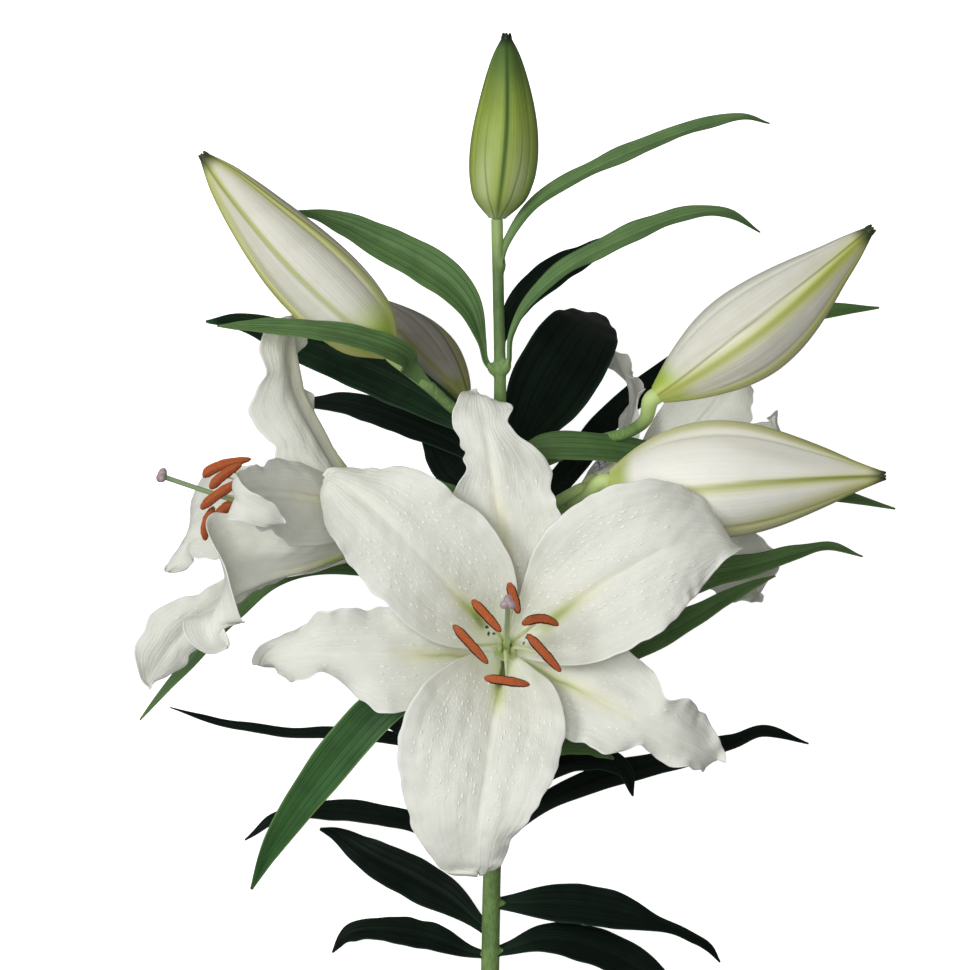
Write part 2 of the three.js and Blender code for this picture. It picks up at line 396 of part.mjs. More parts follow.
// A thin blade from a grid of points on its middle surface. Both faces are split into triangles alike.
function blade(grid, thicknessAt) {
  const rows = grid.length - 1;
  const columns = grid[0].length - 1;
  const clampRow = (i) => Math.max(0, Math.min(rows, i));
  const clampColumn = (j) => Math.max(0, Math.min(columns, j));
  const points = [];
  for (const side of [1, -1]) {
    for (let i = 0; i <= rows; i++) {
      for (let j = 0; j <= columns; j++) {
        const lengthwise = grid[clampRow(i + 1)][j].clone().sub(grid[clampRow(i - 1)][j]);
        const crosswise = grid[i][clampColumn(j + 1)].clone().sub(grid[i][clampColumn(j - 1)]);
        const normal = lengthwise.cross(crosswise).normalize();
        const half = thicknessAt((2 * j) / columns - 1, i / rows) / 2;
        points.push(grid[i][j].clone().addScaledVector(normal, side * half));
      }
    }
  }
  const layer = (rows + 1) * (columns + 1);
  const at = (i, j, under) => i * (columns + 1) + j + (under ? layer : 0);
  const faces = [];
  for (let i = 0; i < rows; i++) {
    for (let j = 0; j < columns; j++) {
      const leaning = j < columns / 2;
      for (const under of [false, true]) {
        const [a, b] = [at(i, j, under), at(i + 1, j, under)];
        const [c, d] = [at(i + 1, j + 1, under), at(i, j + 1, under)];
        const pair = leaning ? [[a, b, c], [a, c, d]] : [[a, b, d], [b, c, d]];
        for (const [p, q, r] of pair) faces.push(under ? [p, r, q] : [p, q, r]);
      }
    }
  }
  const strip = (p, q, pUnder, qUnder) => faces.push([p, pUnder, q], [q, pUnder, qUnder]);
  for (let i = 0; i < rows; i++) {
    strip(at(i, 0), at(i + 1, 0), at(i, 0, true), at(i + 1, 0, true));
    strip(at(i + 1, columns), at(i, columns), at(i + 1, columns, true), at(i, columns, true));
  }
  for (let j = 0; j < columns; j++) {
    strip(at(0, j + 1), at(0, j), at(0, j + 1, true), at(0, j, true));
    strip(at(rows, j), at(rows, j + 1), at(rows, j, true), at(rows, j + 1, true));
  }
  return solid(points, faces);
}

// A tube with a radius at each point of its path, closed at both ends.
function tube(path, radii, sides, rows) {
  const line = stations(path, rows);
  const points = [];
  let across = Math.abs(line[0].heading.z) > 0.9 ? new THREE.Vector3(1, 0, 0) : new THREE.Vector3(0, 0, 1);
  for (const { s, place, heading } of line) {
    across = across.clone().addScaledVector(heading, -across.dot(heading)).normalize();
    const other = heading.clone().cross(across);
    const radius = along(radii, s);
    for (let k = 0; k < sides; k++) {
      const turn = (2 * Math.PI * k) / sides;
      const [x, y] = [radius * Math.cos(turn), radius * Math.sin(turn)];
      points.push(place.clone().addScaledVector(across, x).addScaledVector(other, y));
    }
  }
  points.push(line[0].place, line[rows].place);
  const faces = [];
  for (let i = 0; i < rows; i++) {
    for (let k = 0; k < sides; k++) {
      const [a, b] = [i * sides + k, i * sides + ((k + 1) % sides)];
      faces.push([a, b, b + sides], [a, b + sides, a + sides]);
    }
  }
  const [foot, head] = [points.length - 2, points.length - 1];
  for (let k = 0; k < sides; k++) {
    const next = (k + 1) % sides;
    faces.push([foot, next, k], [head, rows * sides + k, rows * sides + next]);
  }
  return solid(points, faces);
}

// A turned profile of [radius, height] pairs, standing on place along axis.
function turned(profile, sides, place, axis) {
  const lathe = new THREE.LatheGeometry(profile.map(([r, h]) => new THREE.Vector2(r, h)), sides);
  const upright = new THREE.Quaternion().setFromUnitVectors(new THREE.Vector3(0, 1, 0), axis);
  lathe.applyQuaternion(upright).translate(place.x, place.y, place.z);
  return solidOf(lathe);
}

// ---------------------------------------------------------------- pieces

// A bloom's own frame: its base, its axis, and the right and up directions seen from its mouth.
function bloomFrame(bloom) {
  const axis = vector(bloom.axis).normalize();
  const right = new THREE.Vector3(0, 1, 0).cross(axis).normalize();
  const up = axis.clone().cross(right);
  const base = vector(bloom.base);
  const outward = (turn) =>
    right.clone().multiplyScalar(Math.cos(radians(turn))).addScaledVector(up, Math.sin(radians(turn)));
  const place = ([radius, height, turn]) =>
    base.clone().addScaledVector(axis, height).addScaledVector(outward(turn), radius);
  return { axis, right, up, base, outward, place };
}

function tepal(frame, spec) {
  const lifted = spec.midrib.map(([r, h, turn]) => frame.place([r, h + GAP, turn]));
  const line = stations(lifted, TEPAL_GRID.rows);
  const outline = spec.inner ? INNER_OUTLINE : OUTER_OUTLINE;
  const halfWidths = outline.map((share) => (share * spec.width) / 2);
  const [left, right] = [spec.left ?? halfWidths, spec.right ?? halfWidths];
  const grid = line.map(({ s, place, heading }) => {
    const fromBase = place.clone().sub(frame.base);
    const outward = fromBase.addScaledVector(frame.axis, -fromBase.dot(frame.axis)).normalize();
    const around = frame.axis.clone().cross(outward);
    const side = around.addScaledVector(heading, -around.dot(heading)).normalize();
    const face = heading.clone().cross(side);
    const twist = radians(along(spec.twist ?? [0, 0], s));
    const across = side.clone().multiplyScalar(Math.cos(twist)).addScaledVector(face, Math.sin(twist));
    const normal = face.clone().multiplyScalar(Math.cos(twist)).addScaledVector(side, -Math.sin(twist));
    const bend = along(spec.bend ?? TEPAL_BEND, s);
    const row = [];
    for (let j = 0; j <= TEPAL_GRID.columns; j++) {
      const u = (2 * j) / TEPAL_GRID.columns - 1;
      const reach = u * along(u < 0 ? right : left, s);
      const sideways = Math.abs(bend) > 1e-5 ? Math.sin(bend * reach) / bend : reach;
      const bent = Math.abs(bend) > 1e-5 ? (1 - Math.cos(bend * reach)) / bend : 0;
      const lean = spec.inner ? -0.07 * reach * smooth(0.04, 0.16, s) * (1 - smooth(0.45, 0.7, s)) : 0;
      const wave = ruffleOf(spec, s, u);
      row.push(place.clone().addScaledVector(across, sideways).addScaledVector(normal, bent + lean + wave));
    }
    return row;
  });
  return blade(grid, (u) => THREE.MathUtils.lerp(TEPAL_THICKNESS.midrib, TEPAL_THICKNESS.edge, Math.abs(u)));
}

// How far the edge ruffle lifts a tepal at share s of its length and u of its half width.
function ruffleOf(spec, s, u) {
  const growth = smooth(0.3, 0.75, s) * Math.abs(u) ** 2;
  const sideShift = u < 0 ? 0.37 : 0;
  return spec.ruffle * growth * Math.sin(2 * Math.PI * (spec.waves * s + spec.phase + sideShift));
}

function leaf(spec) {
  const line = stations(spec.path.map(vector), LEAF_GRID.rows);
  const grid = line.map(({ s, place, heading }) => {
    const side = new THREE.Vector3(0, 0, 1).cross(heading).normalize();
    const face = heading.clone().cross(side);
    const roll = radians(along(spec.roll, s));
    const across = side.clone().multiplyScalar(Math.cos(roll)).addScaledVector(face, Math.sin(roll));
    const normal = face.clone().multiplyScalar(Math.cos(roll)).addScaledVector(side, -Math.sin(roll));
    const half = (spec.width * along(spec.outline ?? LEAF_OUTLINE, s)) / 2;
    const row = [];
    for (let j = 0; j <= LEAF_GRID.columns; j++) {
      const reach = ((2 * j) / LEAF_GRID.columns - 1) * half;
      const rise = spec.fold * Math.abs(reach);
      row.push(place.clone().addScaledVector(across, reach).addScaledVector(normal, rise));
    }
    return row;
  });
  return blade(grid, (u) => THREE.MathUtils.lerp(LEAF_THICKNESS.midrib, LEAF_THICKNESS.edge, Math.abs(u)));
}

function bud(spec) {
  const sides = 12;
  const base = vector(spec.base);
  const axis = vector(spec.tip).sub(base);
  const length = axis.length();
  axis.normalize();
  const across = new THREE.Vector3(0, 0, 1).cross(axis).normalize();
  const toward = axis.clone().cross(across);
  const rows = 10;
  const points = [];
  for (let i = 0; i <= rows; i++) {
    const s = i / rows;
    const middle = base.clone().addScaledVector(axis, GAP + s * (length - GAP));
    middle.addScaledVector(across, -spec.bow * Math.sin(Math.PI * s));
    const share = along(spec.outline ?? BUD_OUTLINE, s);
    for (let k = 0; k < sides; k++) {
      const turn = (2 * Math.PI * k) / sides;
      const ridge = 1 + 0.05 * Math.cos(3 * (turn - radians(spec.turn))) * smooth(0, 0.2, s);
      const wide = ((spec.width / 2) * share * ridge) * Math.cos(turn);
      const deep = ((spec.depth / 2) * share * ridge) * Math.sin(turn);
      points.push(middle.clone().addScaledVector(across, wide).addScaledVector(toward, deep));
    }
  }
  points.push(base.clone().addScaledVector(axis, GAP), base.clone().addScaledVector(axis, length));
  const faces = [];
  for (let i = 0; i < rows; i++) {
    for (let k = 0; k < sides; k++) {
      const [a, b] = [i * sides + k, i * sides + ((k + 1) % sides)];
      faces.push([a, b, b + sides], [a, b + sides, a + sides]);
    }
  }
  const [foot, head] = [points.length - 2, points.length - 1];
  for (let k = 0; k < sides; k++) {
    const next = (k + 1) % sides;
    faces.push([foot, next, k], [head, rows * sides + k, rows * sides + next]);
  }
  return solid(points, faces);
}

// Where an anther lies: as listed, or across the tip of a filament that reaches out from the axis.
// Its lift is how far its middle stands off the line between its ends.
function antherOf(frame, { turn, reach, height, from, to, arch = 1, bow = 0 }) {
  const middle = from ? null : frame.place([reach, height, turn]);
  const half = frame.outward(turn + 90).multiplyScalar(STAMEN.antherLength / 2);
  const start = from ? vector(from) : middle.clone().sub(half);
  const end = to ? vector(to) : middle.clone().add(half);
  const sideways = frame.axis.clone().cross(end.clone().sub(start)).normalize();
  return { start, end, lift: frame.axis.clone().multiplyScalar(arch).addScaledVector(sideways, bow) };
}

// Six filaments on a ring, each with its anther across its tip.
function stamens(frame, spec) {
  const { ringInner, ringOuter, ringTop, filamentRadius, antherRadius } = STAMEN;
  const ring = turned(
    [[ringInner, GAP], [ringOuter, GAP], [ringOuter, ringTop], [ringInner, ringTop], [ringInner, GAP]],
    12, frame.base, frame.axis,
  );
  let whole = ring;
  const middleRadius = (ringInner + ringOuter) / 2;
  for (const stamen of spec.stamens) {
    const { start, end, lift } = antherOf(frame, stamen);
    const middle = start.clone().lerp(end, 0.5).add(lift).addScaledVector(frame.axis, -antherRadius * 0.4);
    const root = frame.place([middleRadius, 1, stamen.turn]);
    const rise = middle.clone().sub(root).dot(frame.axis);
    const path = [
      root, frame.place([middleRadius + 0.8, rise * 0.4, stamen.turn]),
      root.clone().lerp(middle, 0.75).addScaledVector(frame.axis, rise * 0.06), middle,
    ];
    const filament = tube(path, [filamentRadius, filamentRadius, filamentRadius, filamentRadius * 0.7], 5, 4);
    const spine = [-1, -0.55, 0, 0.55, 1].map((t) =>
      start.clone().lerp(end, (t + 1) / 2).addScaledVector(lift, 1 - t * t));
    const anther = tube(spine, [0.5, antherRadius, antherRadius, antherRadius, 0.5], 6, 4);
    whole = whole.add(filament).add(anther);
  }
  return largest(whole);
}

function pistil(frame, spec) {
  const path = spec.pistil.map(([r, h, turn]) => frame.place([r, h + GAP, turn]));
  const { ovaryRadius, styleRadius, stigmaRadius } = PISTIL;
  const style = tube(path, [ovaryRadius, ovaryRadius, styleRadius, styleRadius, styleRadius * 1.2], 7, 8);
  const tip = path[path.length - 1];
  const heading = tip.clone().sub(path[path.length - 2]).normalize();
  let whole = style;
  for (let lobe = 0; lobe < 3; lobe++) {
    const outward = frame.outward(lobe * 120 + 90);
    const from = tip.clone().addScaledVector(heading, -0.8);
    const to = tip.clone().addScaledVector(heading, 0.6).addScaledVector(outward, stigmaRadius * 0.55);
    whole = whole.add(tube([from, from.clone().lerp(to, 0.5), to], [1, stigmaRadius * 0.55, 0.9], 6, 2));
  }
  return whole;
}

// The seat that carries a bloom at the end of its stalk, with its top at the bloom's base.
function seat(frame, grow) {
  const { radius, height } = SEAT;
  const edge = radius + grow;
  return turned(
    [[0, -height], [2, -height * 0.9], [radius * 0.7, -height * 0.5], [edge, -1.4], [edge, grow], [0, grow]],
    12, frame.base, frame.axis,
  );
}

// The stem and all its stalks in one solid, or, with grow, a fatter copy to cut clearances with.
function stemAndStalks(grow) {
  let whole = tube(STEM_PATH.map(vector), STEM_RADII.map((r) => r + grow), 10, 20);
  const { foot, neck } = STALK_RADIUS;
  for (const { base, tip, stalk } of BUDS) {
    if (!stalk) continue;
    const end = vector(base);
    const inward = vector(tip).sub(end).normalize().multiplyScalar(-4);
    const path = [...stalk.map(vector), end.clone().add(inward), end];
    const radii = [foot, foot, foot, neck, BUD_SEAT_RADIUS].map((r) => r + grow);
    whole = whole.add(tube(path, radii, 8, 7));
  }
  for (const bloom of BLOOMS) {
    const frame = bloomFrame(bloom);
    const end = frame.place([0, -3, 0]);
    const neckPlace = frame.place([0, -9, 0]);
    const path = [...bloom.stalk.map(vector), neckPlace, end];
    const radii = [foot, foot, foot, neck, neck].map((r) => r + grow);
    whole = whole.add(tube(path, radii, 8, 7)).add(seat(frame, grow));
  }
  return whole;
}

// ---------------------------------------------------------------- the whole plant

const lily = new THREE.Group();
lily.position.sub(OUTLINE_MIDDLE);

function add(name, material, body) {
  const mesh = new THREE.Mesh(geometryOf(body), MATERIALS[material]);
  mesh.name = name;
  lily.add(mesh);
}

// What lies on the surface is pressed flat there.
const pressed = (body) => body.trimByPlane([0, 0, 1], 0);

const clearance = stemAndStalks(GAP);
add("stem", "stem", pressed(stemAndStalks(0)));
for (const spec of LEAVES) add(spec.name, spec.tone, pressed(largest(leaf(spec).subtract(clearance))));
for (const spec of BUDS) add(spec.name, spec.tone, pressed(bud(spec)));
for (const spec of BLOOMS) {
  const frame = bloomFrame(spec);
  for (const part of spec.tepals) add(`${spec.name}_${part.name}`, "tepal", pressed(tepal(frame, part)));
  add(`${spec.name}_stamens`, "stamen", stamens(frame, spec));
  add(`${spec.name}_pistil`, "pistil", pistil(frame, spec));
}

export default lily;
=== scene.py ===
"""A cut flowering stem of a white Oriental lily, lying on its back: the finished plant.

The plant is drawn in millimetres, +Z up, with +Y along the stem. The drawing's own zero lies beside the
middle of the plant's outline, and `to_frame` turns drawing places into metres in the shared frame.
Blades (tepals and leaves) are thin closed skins built round a midrib curve.
"""

import logging
import math
from dataclasses import dataclass, field
from enum import Enum
from typing import Any, Iterable, Sequence

import bpy
import numpy as np
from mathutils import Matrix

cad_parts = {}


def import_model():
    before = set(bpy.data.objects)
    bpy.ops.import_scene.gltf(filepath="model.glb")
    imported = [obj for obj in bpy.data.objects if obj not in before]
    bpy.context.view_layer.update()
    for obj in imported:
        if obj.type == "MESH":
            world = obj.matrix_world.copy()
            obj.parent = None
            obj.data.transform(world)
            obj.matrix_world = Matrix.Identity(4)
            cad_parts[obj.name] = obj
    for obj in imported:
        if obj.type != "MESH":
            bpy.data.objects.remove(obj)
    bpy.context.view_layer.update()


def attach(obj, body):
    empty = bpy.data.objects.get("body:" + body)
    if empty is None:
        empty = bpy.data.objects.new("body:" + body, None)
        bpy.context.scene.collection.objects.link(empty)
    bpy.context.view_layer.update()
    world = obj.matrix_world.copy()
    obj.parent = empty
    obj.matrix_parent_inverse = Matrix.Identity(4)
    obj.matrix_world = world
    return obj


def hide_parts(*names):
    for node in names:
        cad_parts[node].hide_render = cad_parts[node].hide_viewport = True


log = logging.getLogger("lily")

Points = Sequence[Sequence[float]]
Values = Sequence[float]

# ------------------------------------------------------------------ driving dimensions (mm)

MILLIMETRE = 0.001
OUTLINE_MIDDLE = np.array([12.2, -42.4, 0.0])
GAP = 0.35
SEED = 11

STALK_RADIUS = {"foot": 2.3, "neck": 2.6}
SEAT_RADIUS = 5.9
SEAT_HEIGHT = 6.0
BUD_SEAT_RADIUS = 3.6

# Relative width at equal steps from the base to the tip.
LEAF_OUTLINE = (0.2, 0.4, 0.7, 0.92, 1, 0.97, 0.85, 0.66, 0.4, 0.06)
STALKED_LEAF_OUTLINE = (0.16, 0.18, 0.5, 0.85, 1, 0.98, 0.87, 0.68, 0.42, 0.06)
BRACT_OUTLINE = (0.14, 0.18, 0.78, 1, 1, 1, 0.98, 0.96, 0.93, 0.9, 0.86, 0.8, 0.73, 0.64, 0.54, 0.43, 0.31,
                 0.18, 0.05)
TRAILING_OUTLINE = (0.2, 0.4, 0.55, 0.6, 0.62, 0.65, 0.75, 0.88, 0.85, 0.5, 0.06)
LONG_TIP_OUTLINE = (0.2, 0.45, 0.75, 0.95, 1, 0.95, 0.8, 0.55, 0.32, 0.26, 0.24, 0.05)
INNER_OUTLINE = (0.15, 0.23, 0.42, 0.7, 0.93, 1, 0.99, 0.92, 0.76, 0.5, 0.14)
OUTER_OUTLINE = (0.2, 0.26, 0.52, 0.8, 0.95, 1, 0.95, 0.8, 0.62, 0.42, 0.12)
# Bend across a tepal (1/mm) at equal steps from the base to the tip.
TEPAL_BEND = (0.2, 0.15, 0.07, 0.03, 0.014, 0.006, 0, -0.006, -0.012, -0.02)
CUPPED_BEND = (0.2, 0.15, 0.08, 0.05, 0.045, 0.042, 0.036, 0.02, 0.0, -0.01)
# Bud radius at equal steps from the stalk to the beak, relative to its widest.
BUD_OUTLINE = (0.24, 0.74, 0.93, 1, 1, 0.95, 0.85, 0.72, 0.57, 0.38, 0.1)
SLIM_BUD_OUTLINE = (0.22, 0.54, 0.79, 0.96, 1.03, 0.99, 0.87, 0.7, 0.5, 0.31, 0.08)
BROAD_BUD_OUTLINE = (0.22, 0.58, 0.83, 0.96, 1, 0.95, 0.83, 0.66, 0.47, 0.26, 0.08)


# ------------------------------------------------------------------ small maths

def to_frame(points: np.ndarray) -> np.ndarray:
    """Turns drawing millimetres into metres in the shared frame."""
    return (np.asarray(points, float) - OUTLINE_MIDDLE) * MILLIMETRE


def unit(vectors: np.ndarray) -> np.ndarray:
    """Scales vectors, along the last axis, to length 1."""
    length = np.linalg.norm(vectors, axis=-1, keepdims=True)
    return vectors / np.maximum(length, 1e-12)


def smooth(low: float, high: float, x: np.ndarray) -> np.ndarray:
    """A smooth step from 0 at low to 1 at high."""
    t = np.clip((np.asarray(x, float) - low) / (high - low), 0, 1)
    return t * t * (3 - 2 * t)


def bell(x: np.ndarray, width: float) -> np.ndarray:
    """A smooth hump of height 1 at x = 0, down to a third at x = width."""
    return np.exp(-((np.asarray(x, float) / width) ** 2))


def along(values: Any, share: Any) -> np.ndarray:
    """Reads a list given at equal steps, on a smooth curve through it.

    Args:
        values: Numbers or points at equal steps.
        share: Where to read, from 0 at the first to 1 at the last.

    Returns:
        The value or point at each share.
    """
    rows = np.asarray(values, float)
    share = np.asarray(share, float)
    last = len(rows) - 1
    cell = np.clip(np.floor(share * last).astype(int), 0, last - 1)
    t = share * last - cell
    if rows.ndim == 2:
        t = t[..., None]
    padded = np.concatenate([[2 * rows[0] - rows[1]], rows, [2 * rows[-1] - rows[-2]]])
    p0, p1, p2, p3 = (padded[cell + k] for k in range(4))
    cubic = (3 * p1 - p0 - 3 * p2 + p3) * t**3
    square = (2 * p0 - 5 * p1 + 4 * p2 - p3) * t**2
    return (2 * p1 + (p2 - p0) * t + square + cubic) / 2


def stations(points: Any, shares: np.ndarray) -> tuple[np.ndarray, np.ndarray, float]:
    """Walks a smooth curve through points, evenly by its length.

    Args:
        points: The places that the curve passes through.
        shares: Shares of the curve's length.

    Returns:
        The places, the headings and the whole length.
    """
    fine = np.linspace(0, 1, 401)
    steps = np.linalg.norm(np.diff(along(points, fine), axis=0), axis=1)
    run = np.concatenate([[0], np.cumsum(steps)])
    t = np.interp(np.asarray(shares) * run[-1], run, fine)
    step = 1e-4
    ahead = along(points, np.clip(t + step, 0, 1))
    behind = along(points, np.clip(t - step, 0, 1))
    return along(points, t), unit(ahead - behind), float(run[-1])


def ripple(x: np.ndarray, seed: int, lowest: float = 1.0, count: int = 5) -> np.ndarray:
    """An uneven wave of about height 1: a few sines with seeded phases.

    Args:
        x: Where to read it.
        seed: Which wave.
        lowest: Its slowest number of turns per unit of x.
        count: How many sines it adds up.

    Returns:
        The wave's height at x.
    """
    draw = np.random.default_rng(SEED + seed)
    total = np.zeros_like(np.asarray(x, float))
    for k in range(count):
        turns = lowest * (1.0 + 0.62 * k) * draw.uniform(0.85, 1.15)
        phase = draw.uniform(0, 2 * math.pi)
        total = total + np.sin(2 * math.pi * turns * x + phase) / (1 + 0.6 * k)
    return total / 1.7


def dimples(x: np.ndarray, y: np.ndarray, seed: int) -> np.ndarray:
    """Soft uneven dimples of about height 1: waves of seeded lengths that cross each other.

    Args:
        x: Distance across the blade, in mm.
        y: Distance along it.
        seed: Which dimples.

    Returns:
        Their height at each place.
    """
    draw = np.random.default_rng(SEED + seed)
    total = np.zeros_like(x + y)
    for _ in range(12):
        way, phase = draw.uniform(-0.4 * math.pi, 0.4 * math.pi), draw.uniform(0, 2 * math.pi)
        length = draw.uniform(5.0, 15.0)
        total = total + np.sin(2 * math.pi * (x * math.cos(way) + y * math.sin(way)) / length + phase)
    return total / 3.5


# ------------------------------------------------------------------ skins

@dataclass
class Skin:
    """A closed skin in drawing millimetres, with named values at its points."""

    points: np.ndarray
    faces: np.ndarray
    values: dict[str, np.ndarray] = field(default_factory=dict)

    def joined(self, other: "Skin") -> "Skin":
        """Joins two skins.

        Args:
            other: The other skin.

        Returns:
            Both as one, with the values that both have.
        """
        names = self.values.keys() & other.values.keys()
        return Skin(
            np.concatenate([self.points, other.points]),
            np.concatenate([self.faces, other.faces + len(self.points)]),
            {name: np.concatenate([self.values[name], other.values[name]]) for name in names},
        )

    def to_object(self, name: str) -> bpy.types.Object:
        """Makes a smooth-shaded object of the skin, with its values as point attributes.

        Args:
            name: The object's name.

        Returns:
            The object, in the scene.
        """
        mesh = bpy.data.meshes.new(name)
        triangular = self.faces[:, 2] == self.faces[:, 3]
        faces = [tuple(f[:3]) if flat else tuple(f) for f, flat in zip(self.faces.tolist(), triangular)]
        places = to_frame(self.points)
        places[:, 2] = np.maximum(places[:, 2], 0)
        mesh.from_pydata(places.tolist(), [], faces)
        mesh.shade_smooth()
        for key, value in self.values.items():
            vector = value.ndim == 2
            layer = mesh.attributes.new(key, "FLOAT_VECTOR" if vector else "FLOAT", "POINT")
            layer.data.foreach_set("vector" if vector else "value", value.astype(np.float32).ravel())
        mesh.update()
        made = bpy.data.objects.new(name, mesh)
        bpy.context.scene.collection.objects.link(made)
        return made


def join_skins(skins: Sequence[Skin]) -> Skin:
    """Joins skins.

    Args:
        skins: The skins.

    Returns:
        All of them as one.
    """
    whole = skins[0]
    for skin in skins[1:]:
        whole = whole.joined(skin)
    return whole


def blade_skin(middle: np.ndarray, upper: np.ndarray, lower: np.ndarray,
               values: dict[str, np.ndarray]) -> Skin:
    """Wraps a thin blade round its middle surface, with rounded edges.

    Args:
        middle: Rows by columns of places, from the base to the tip and from the right edge to the left.
        upper: How far the upper face stands off the middle, at each place.
        lower: How far the lower face stands off it.
        values: Named values at each place, given to both faces.

    Returns:
        The closed skin. Its value "upper_face" is 1 on the upper face and 0 on the lower.
    """
    rows, columns = middle.shape[0], middle.shape[1]
    lengthwise = np.gradient(middle, axis=0)
    crosswise = np.gradient(middle, axis=1)
    normal = unit(np.cross(lengthwise, crosswise))
    top = middle + normal * upper[..., None]
    bottom = middle - normal * lower[..., None]
    rim = 0.5 * (upper + lower)
    reach = unit(crosswise)
    right_rim = 0.5 * (top[:, 0] + bottom[:, 0]) - reach[:, 0] * rim[:, :1]
    left_rim = 0.5 * (top[:, -1] + bottom[:, -1]) + reach[:, -1] * rim[:, -1:]
    loops = [top, left_rim[:, None], bottom[:, ::-1], right_rim[:, None]]
    points = np.concatenate(loops, axis=1)
    count = points.shape[1]

    def spread(grid: np.ndarray) -> np.ndarray:
        """The values of a grid at every point of the skin."""
        whole = np.broadcast_to(grid, (rows, columns, *grid.shape[2:]))
        both = np.concatenate([whole, whole[:, -1:], whole[:, ::-1], whole[:, :1]], axis=1)
        return both.reshape(-1, *grid.shape[2:])

    face = np.concatenate([np.ones(columns), [0.5], np.zeros(columns), [0.5]])
    named = {key: spread(grid) for key, grid in values.items()}
    named["upper_face"] = np.tile(face, rows)

    i = np.arange(rows - 1)[:, None]
    k = np.arange(count)[None, :]
    following = (k + 1) % count
    corners = [i * count + k, (i + 1) * count + k, (i + 1) * count + following, i * count + following]
    walls = np.stack(corners, -1)
    j = np.arange(columns - 1)
    under = 2 * columns - j
    quads = np.stack([j, j + 1, under - 1, under], -1)
    tips = np.array([
        [columns - 1, columns, columns + 1, columns + 1],
        [2 * columns, 2 * columns + 1, 0, 0],
    ])
    foot = np.concatenate([quads, tips])
    head = foot[:, [0, 3, 2, 1]] + (rows - 1) * count
    head[-2:] = foot[-2:][:, [0, 2, 1, 1]] + (rows - 1) * count
    faces = np.concatenate([walls.reshape(-1, 4), foot, head])
    return Skin(points.reshape(-1, 3), faces, named)


def tube_skin(centres: np.ndarray, rings: np.ndarray, values: dict[str, np.ndarray]) -> Skin:
    """Closes a run of rings with a pole at each end.

    Args:
        centres: The middle of each ring.
        rings: Rows by sides of places. Each ring runs anticlockwise seen from the far end.
        values: Named values, rows by sides.

    Returns:
        The closed skin.
    """
    rows, sides = rings.shape[:2]
    i = np.arange(rows - 1)[:, None]
    k = np.arange(sides)[None, :]
    following = (k + 1) % sides
    corners = [i * sides + k, i * sides + following, (i + 1) * sides + following, (i + 1) * sides + k]
    walls = np.stack(corners, -1)
    foot, head = rows * sides, rows * sides + 1
    k = np.arange(sides)
    following = (k + 1) % sides
    first = np.stack([np.full(sides, foot), following, k, k], -1)
    top = (rows - 1) * sides
    final = np.stack([np.full(sides, head), top + k, top + following, top + following], -1)
    points = np.concatenate([rings.reshape(-1, 3), centres[:1], centres[-1:]])
    named = {}
    for key, grid in values.items():
        grid = np.broadcast_to(grid, (rows, sides))
        named[key] = np.concatenate([grid.reshape(-1), [grid[0].mean(), grid[-1].mean()]])
    return Skin(points, np.concatenate([walls.reshape(-1, 4), first, final]), named)


def swept(path: Any, radii: Values, sides: int, rows: int) -> Skin:
    """A round tube along a path, closed at both ends.

    Args:
        path: The places that its middle line passes through.
        radii: Its radius at equal steps along the path.
        sides: How many sides it has.
        rows: How many rings.

    Returns:
        The closed skin, with the value "along", from 0 to 1.
    """
    share = np.linspace(0, 1, rows)
    place, heading, _ = stations(path, share)
    across = np.zeros_like(place)
    now = np.array([1.0, 0, 0]) if abs(heading[0, 2]) > 0.9 else np.array([0, 0, 1.0])
    for i, direction in enumerate(heading):
        now = unit(now - direction * (now @ direction))
        across[i] = now
    other = np.cross(heading, across)
    turn = np.linspace(0, 2 * math.pi, sides, endpoint=False)
    radius = along(radii, share)[:, None, None]
    flat = across[:, None] * np.cos(turn)[None, :, None] + other[:, None] * np.sin(turn)[None, :, None]
    return tube_skin(place, place[:, None] + flat * radius, {"along": share[:, None]})


# ------------------------------------------------------------------ finishes

def linear(colour: str) -> tuple[float, float, float, float]:
    """Turns an sRGB colour into linear light.

    Args:
        colour: A hash and six hex digits.

    Returns:
        Red, green, blue and alpha.
    """
    shares = [int(colour[i:i + 2], 16) / 255 for i in (1, 3, 5)]
    light = [c / 12.92 if c <= 0.04045 else ((c + 0.055) / 1.055) ** 2.4 for c in shares]
    return (*light, 1.0)


def per_metre(size_mm: float) -> float:
    """The texture scale at which one repeat is size_mm long."""
    return 1.0 / (size_mm * MILLIMETRE)


def feed(tree: bpy.types.NodeTree, node: bpy.types.Node, inputs: dict[Any, Any]) -> None:
    """Sets a node's inputs.

    Args:
        tree: The tree that holds the node.
        node: The node.
        inputs: Values, or sockets to link from, by input name or number.
    """
    for key, value in inputs.items():
        if isinstance(value, bpy.types.NodeSocket):
            tree.links.new(value, node.inputs[key])
        else:
            node.inputs[key].default_value = value


def add_node(tree: bpy.types.NodeTree, kind: str, settings: dict[str, Any] | None = None,
             inputs: dict[Any, Any] | None = None) -> bpy.types.Node:
    """Adds a node with its settings and its inputs.

    Args:
        tree: The tree that takes it.
        kind: The node's type name.
        settings: Its properties.
        inputs: Values, or sockets to link from, by input name or number.

    Returns:
        The node.
    """
    node = tree.nodes.new(kind)
    for key, value in (settings or {}).items():
        setattr(node, key, value)
    feed(tree, node, inputs or {})
    return node


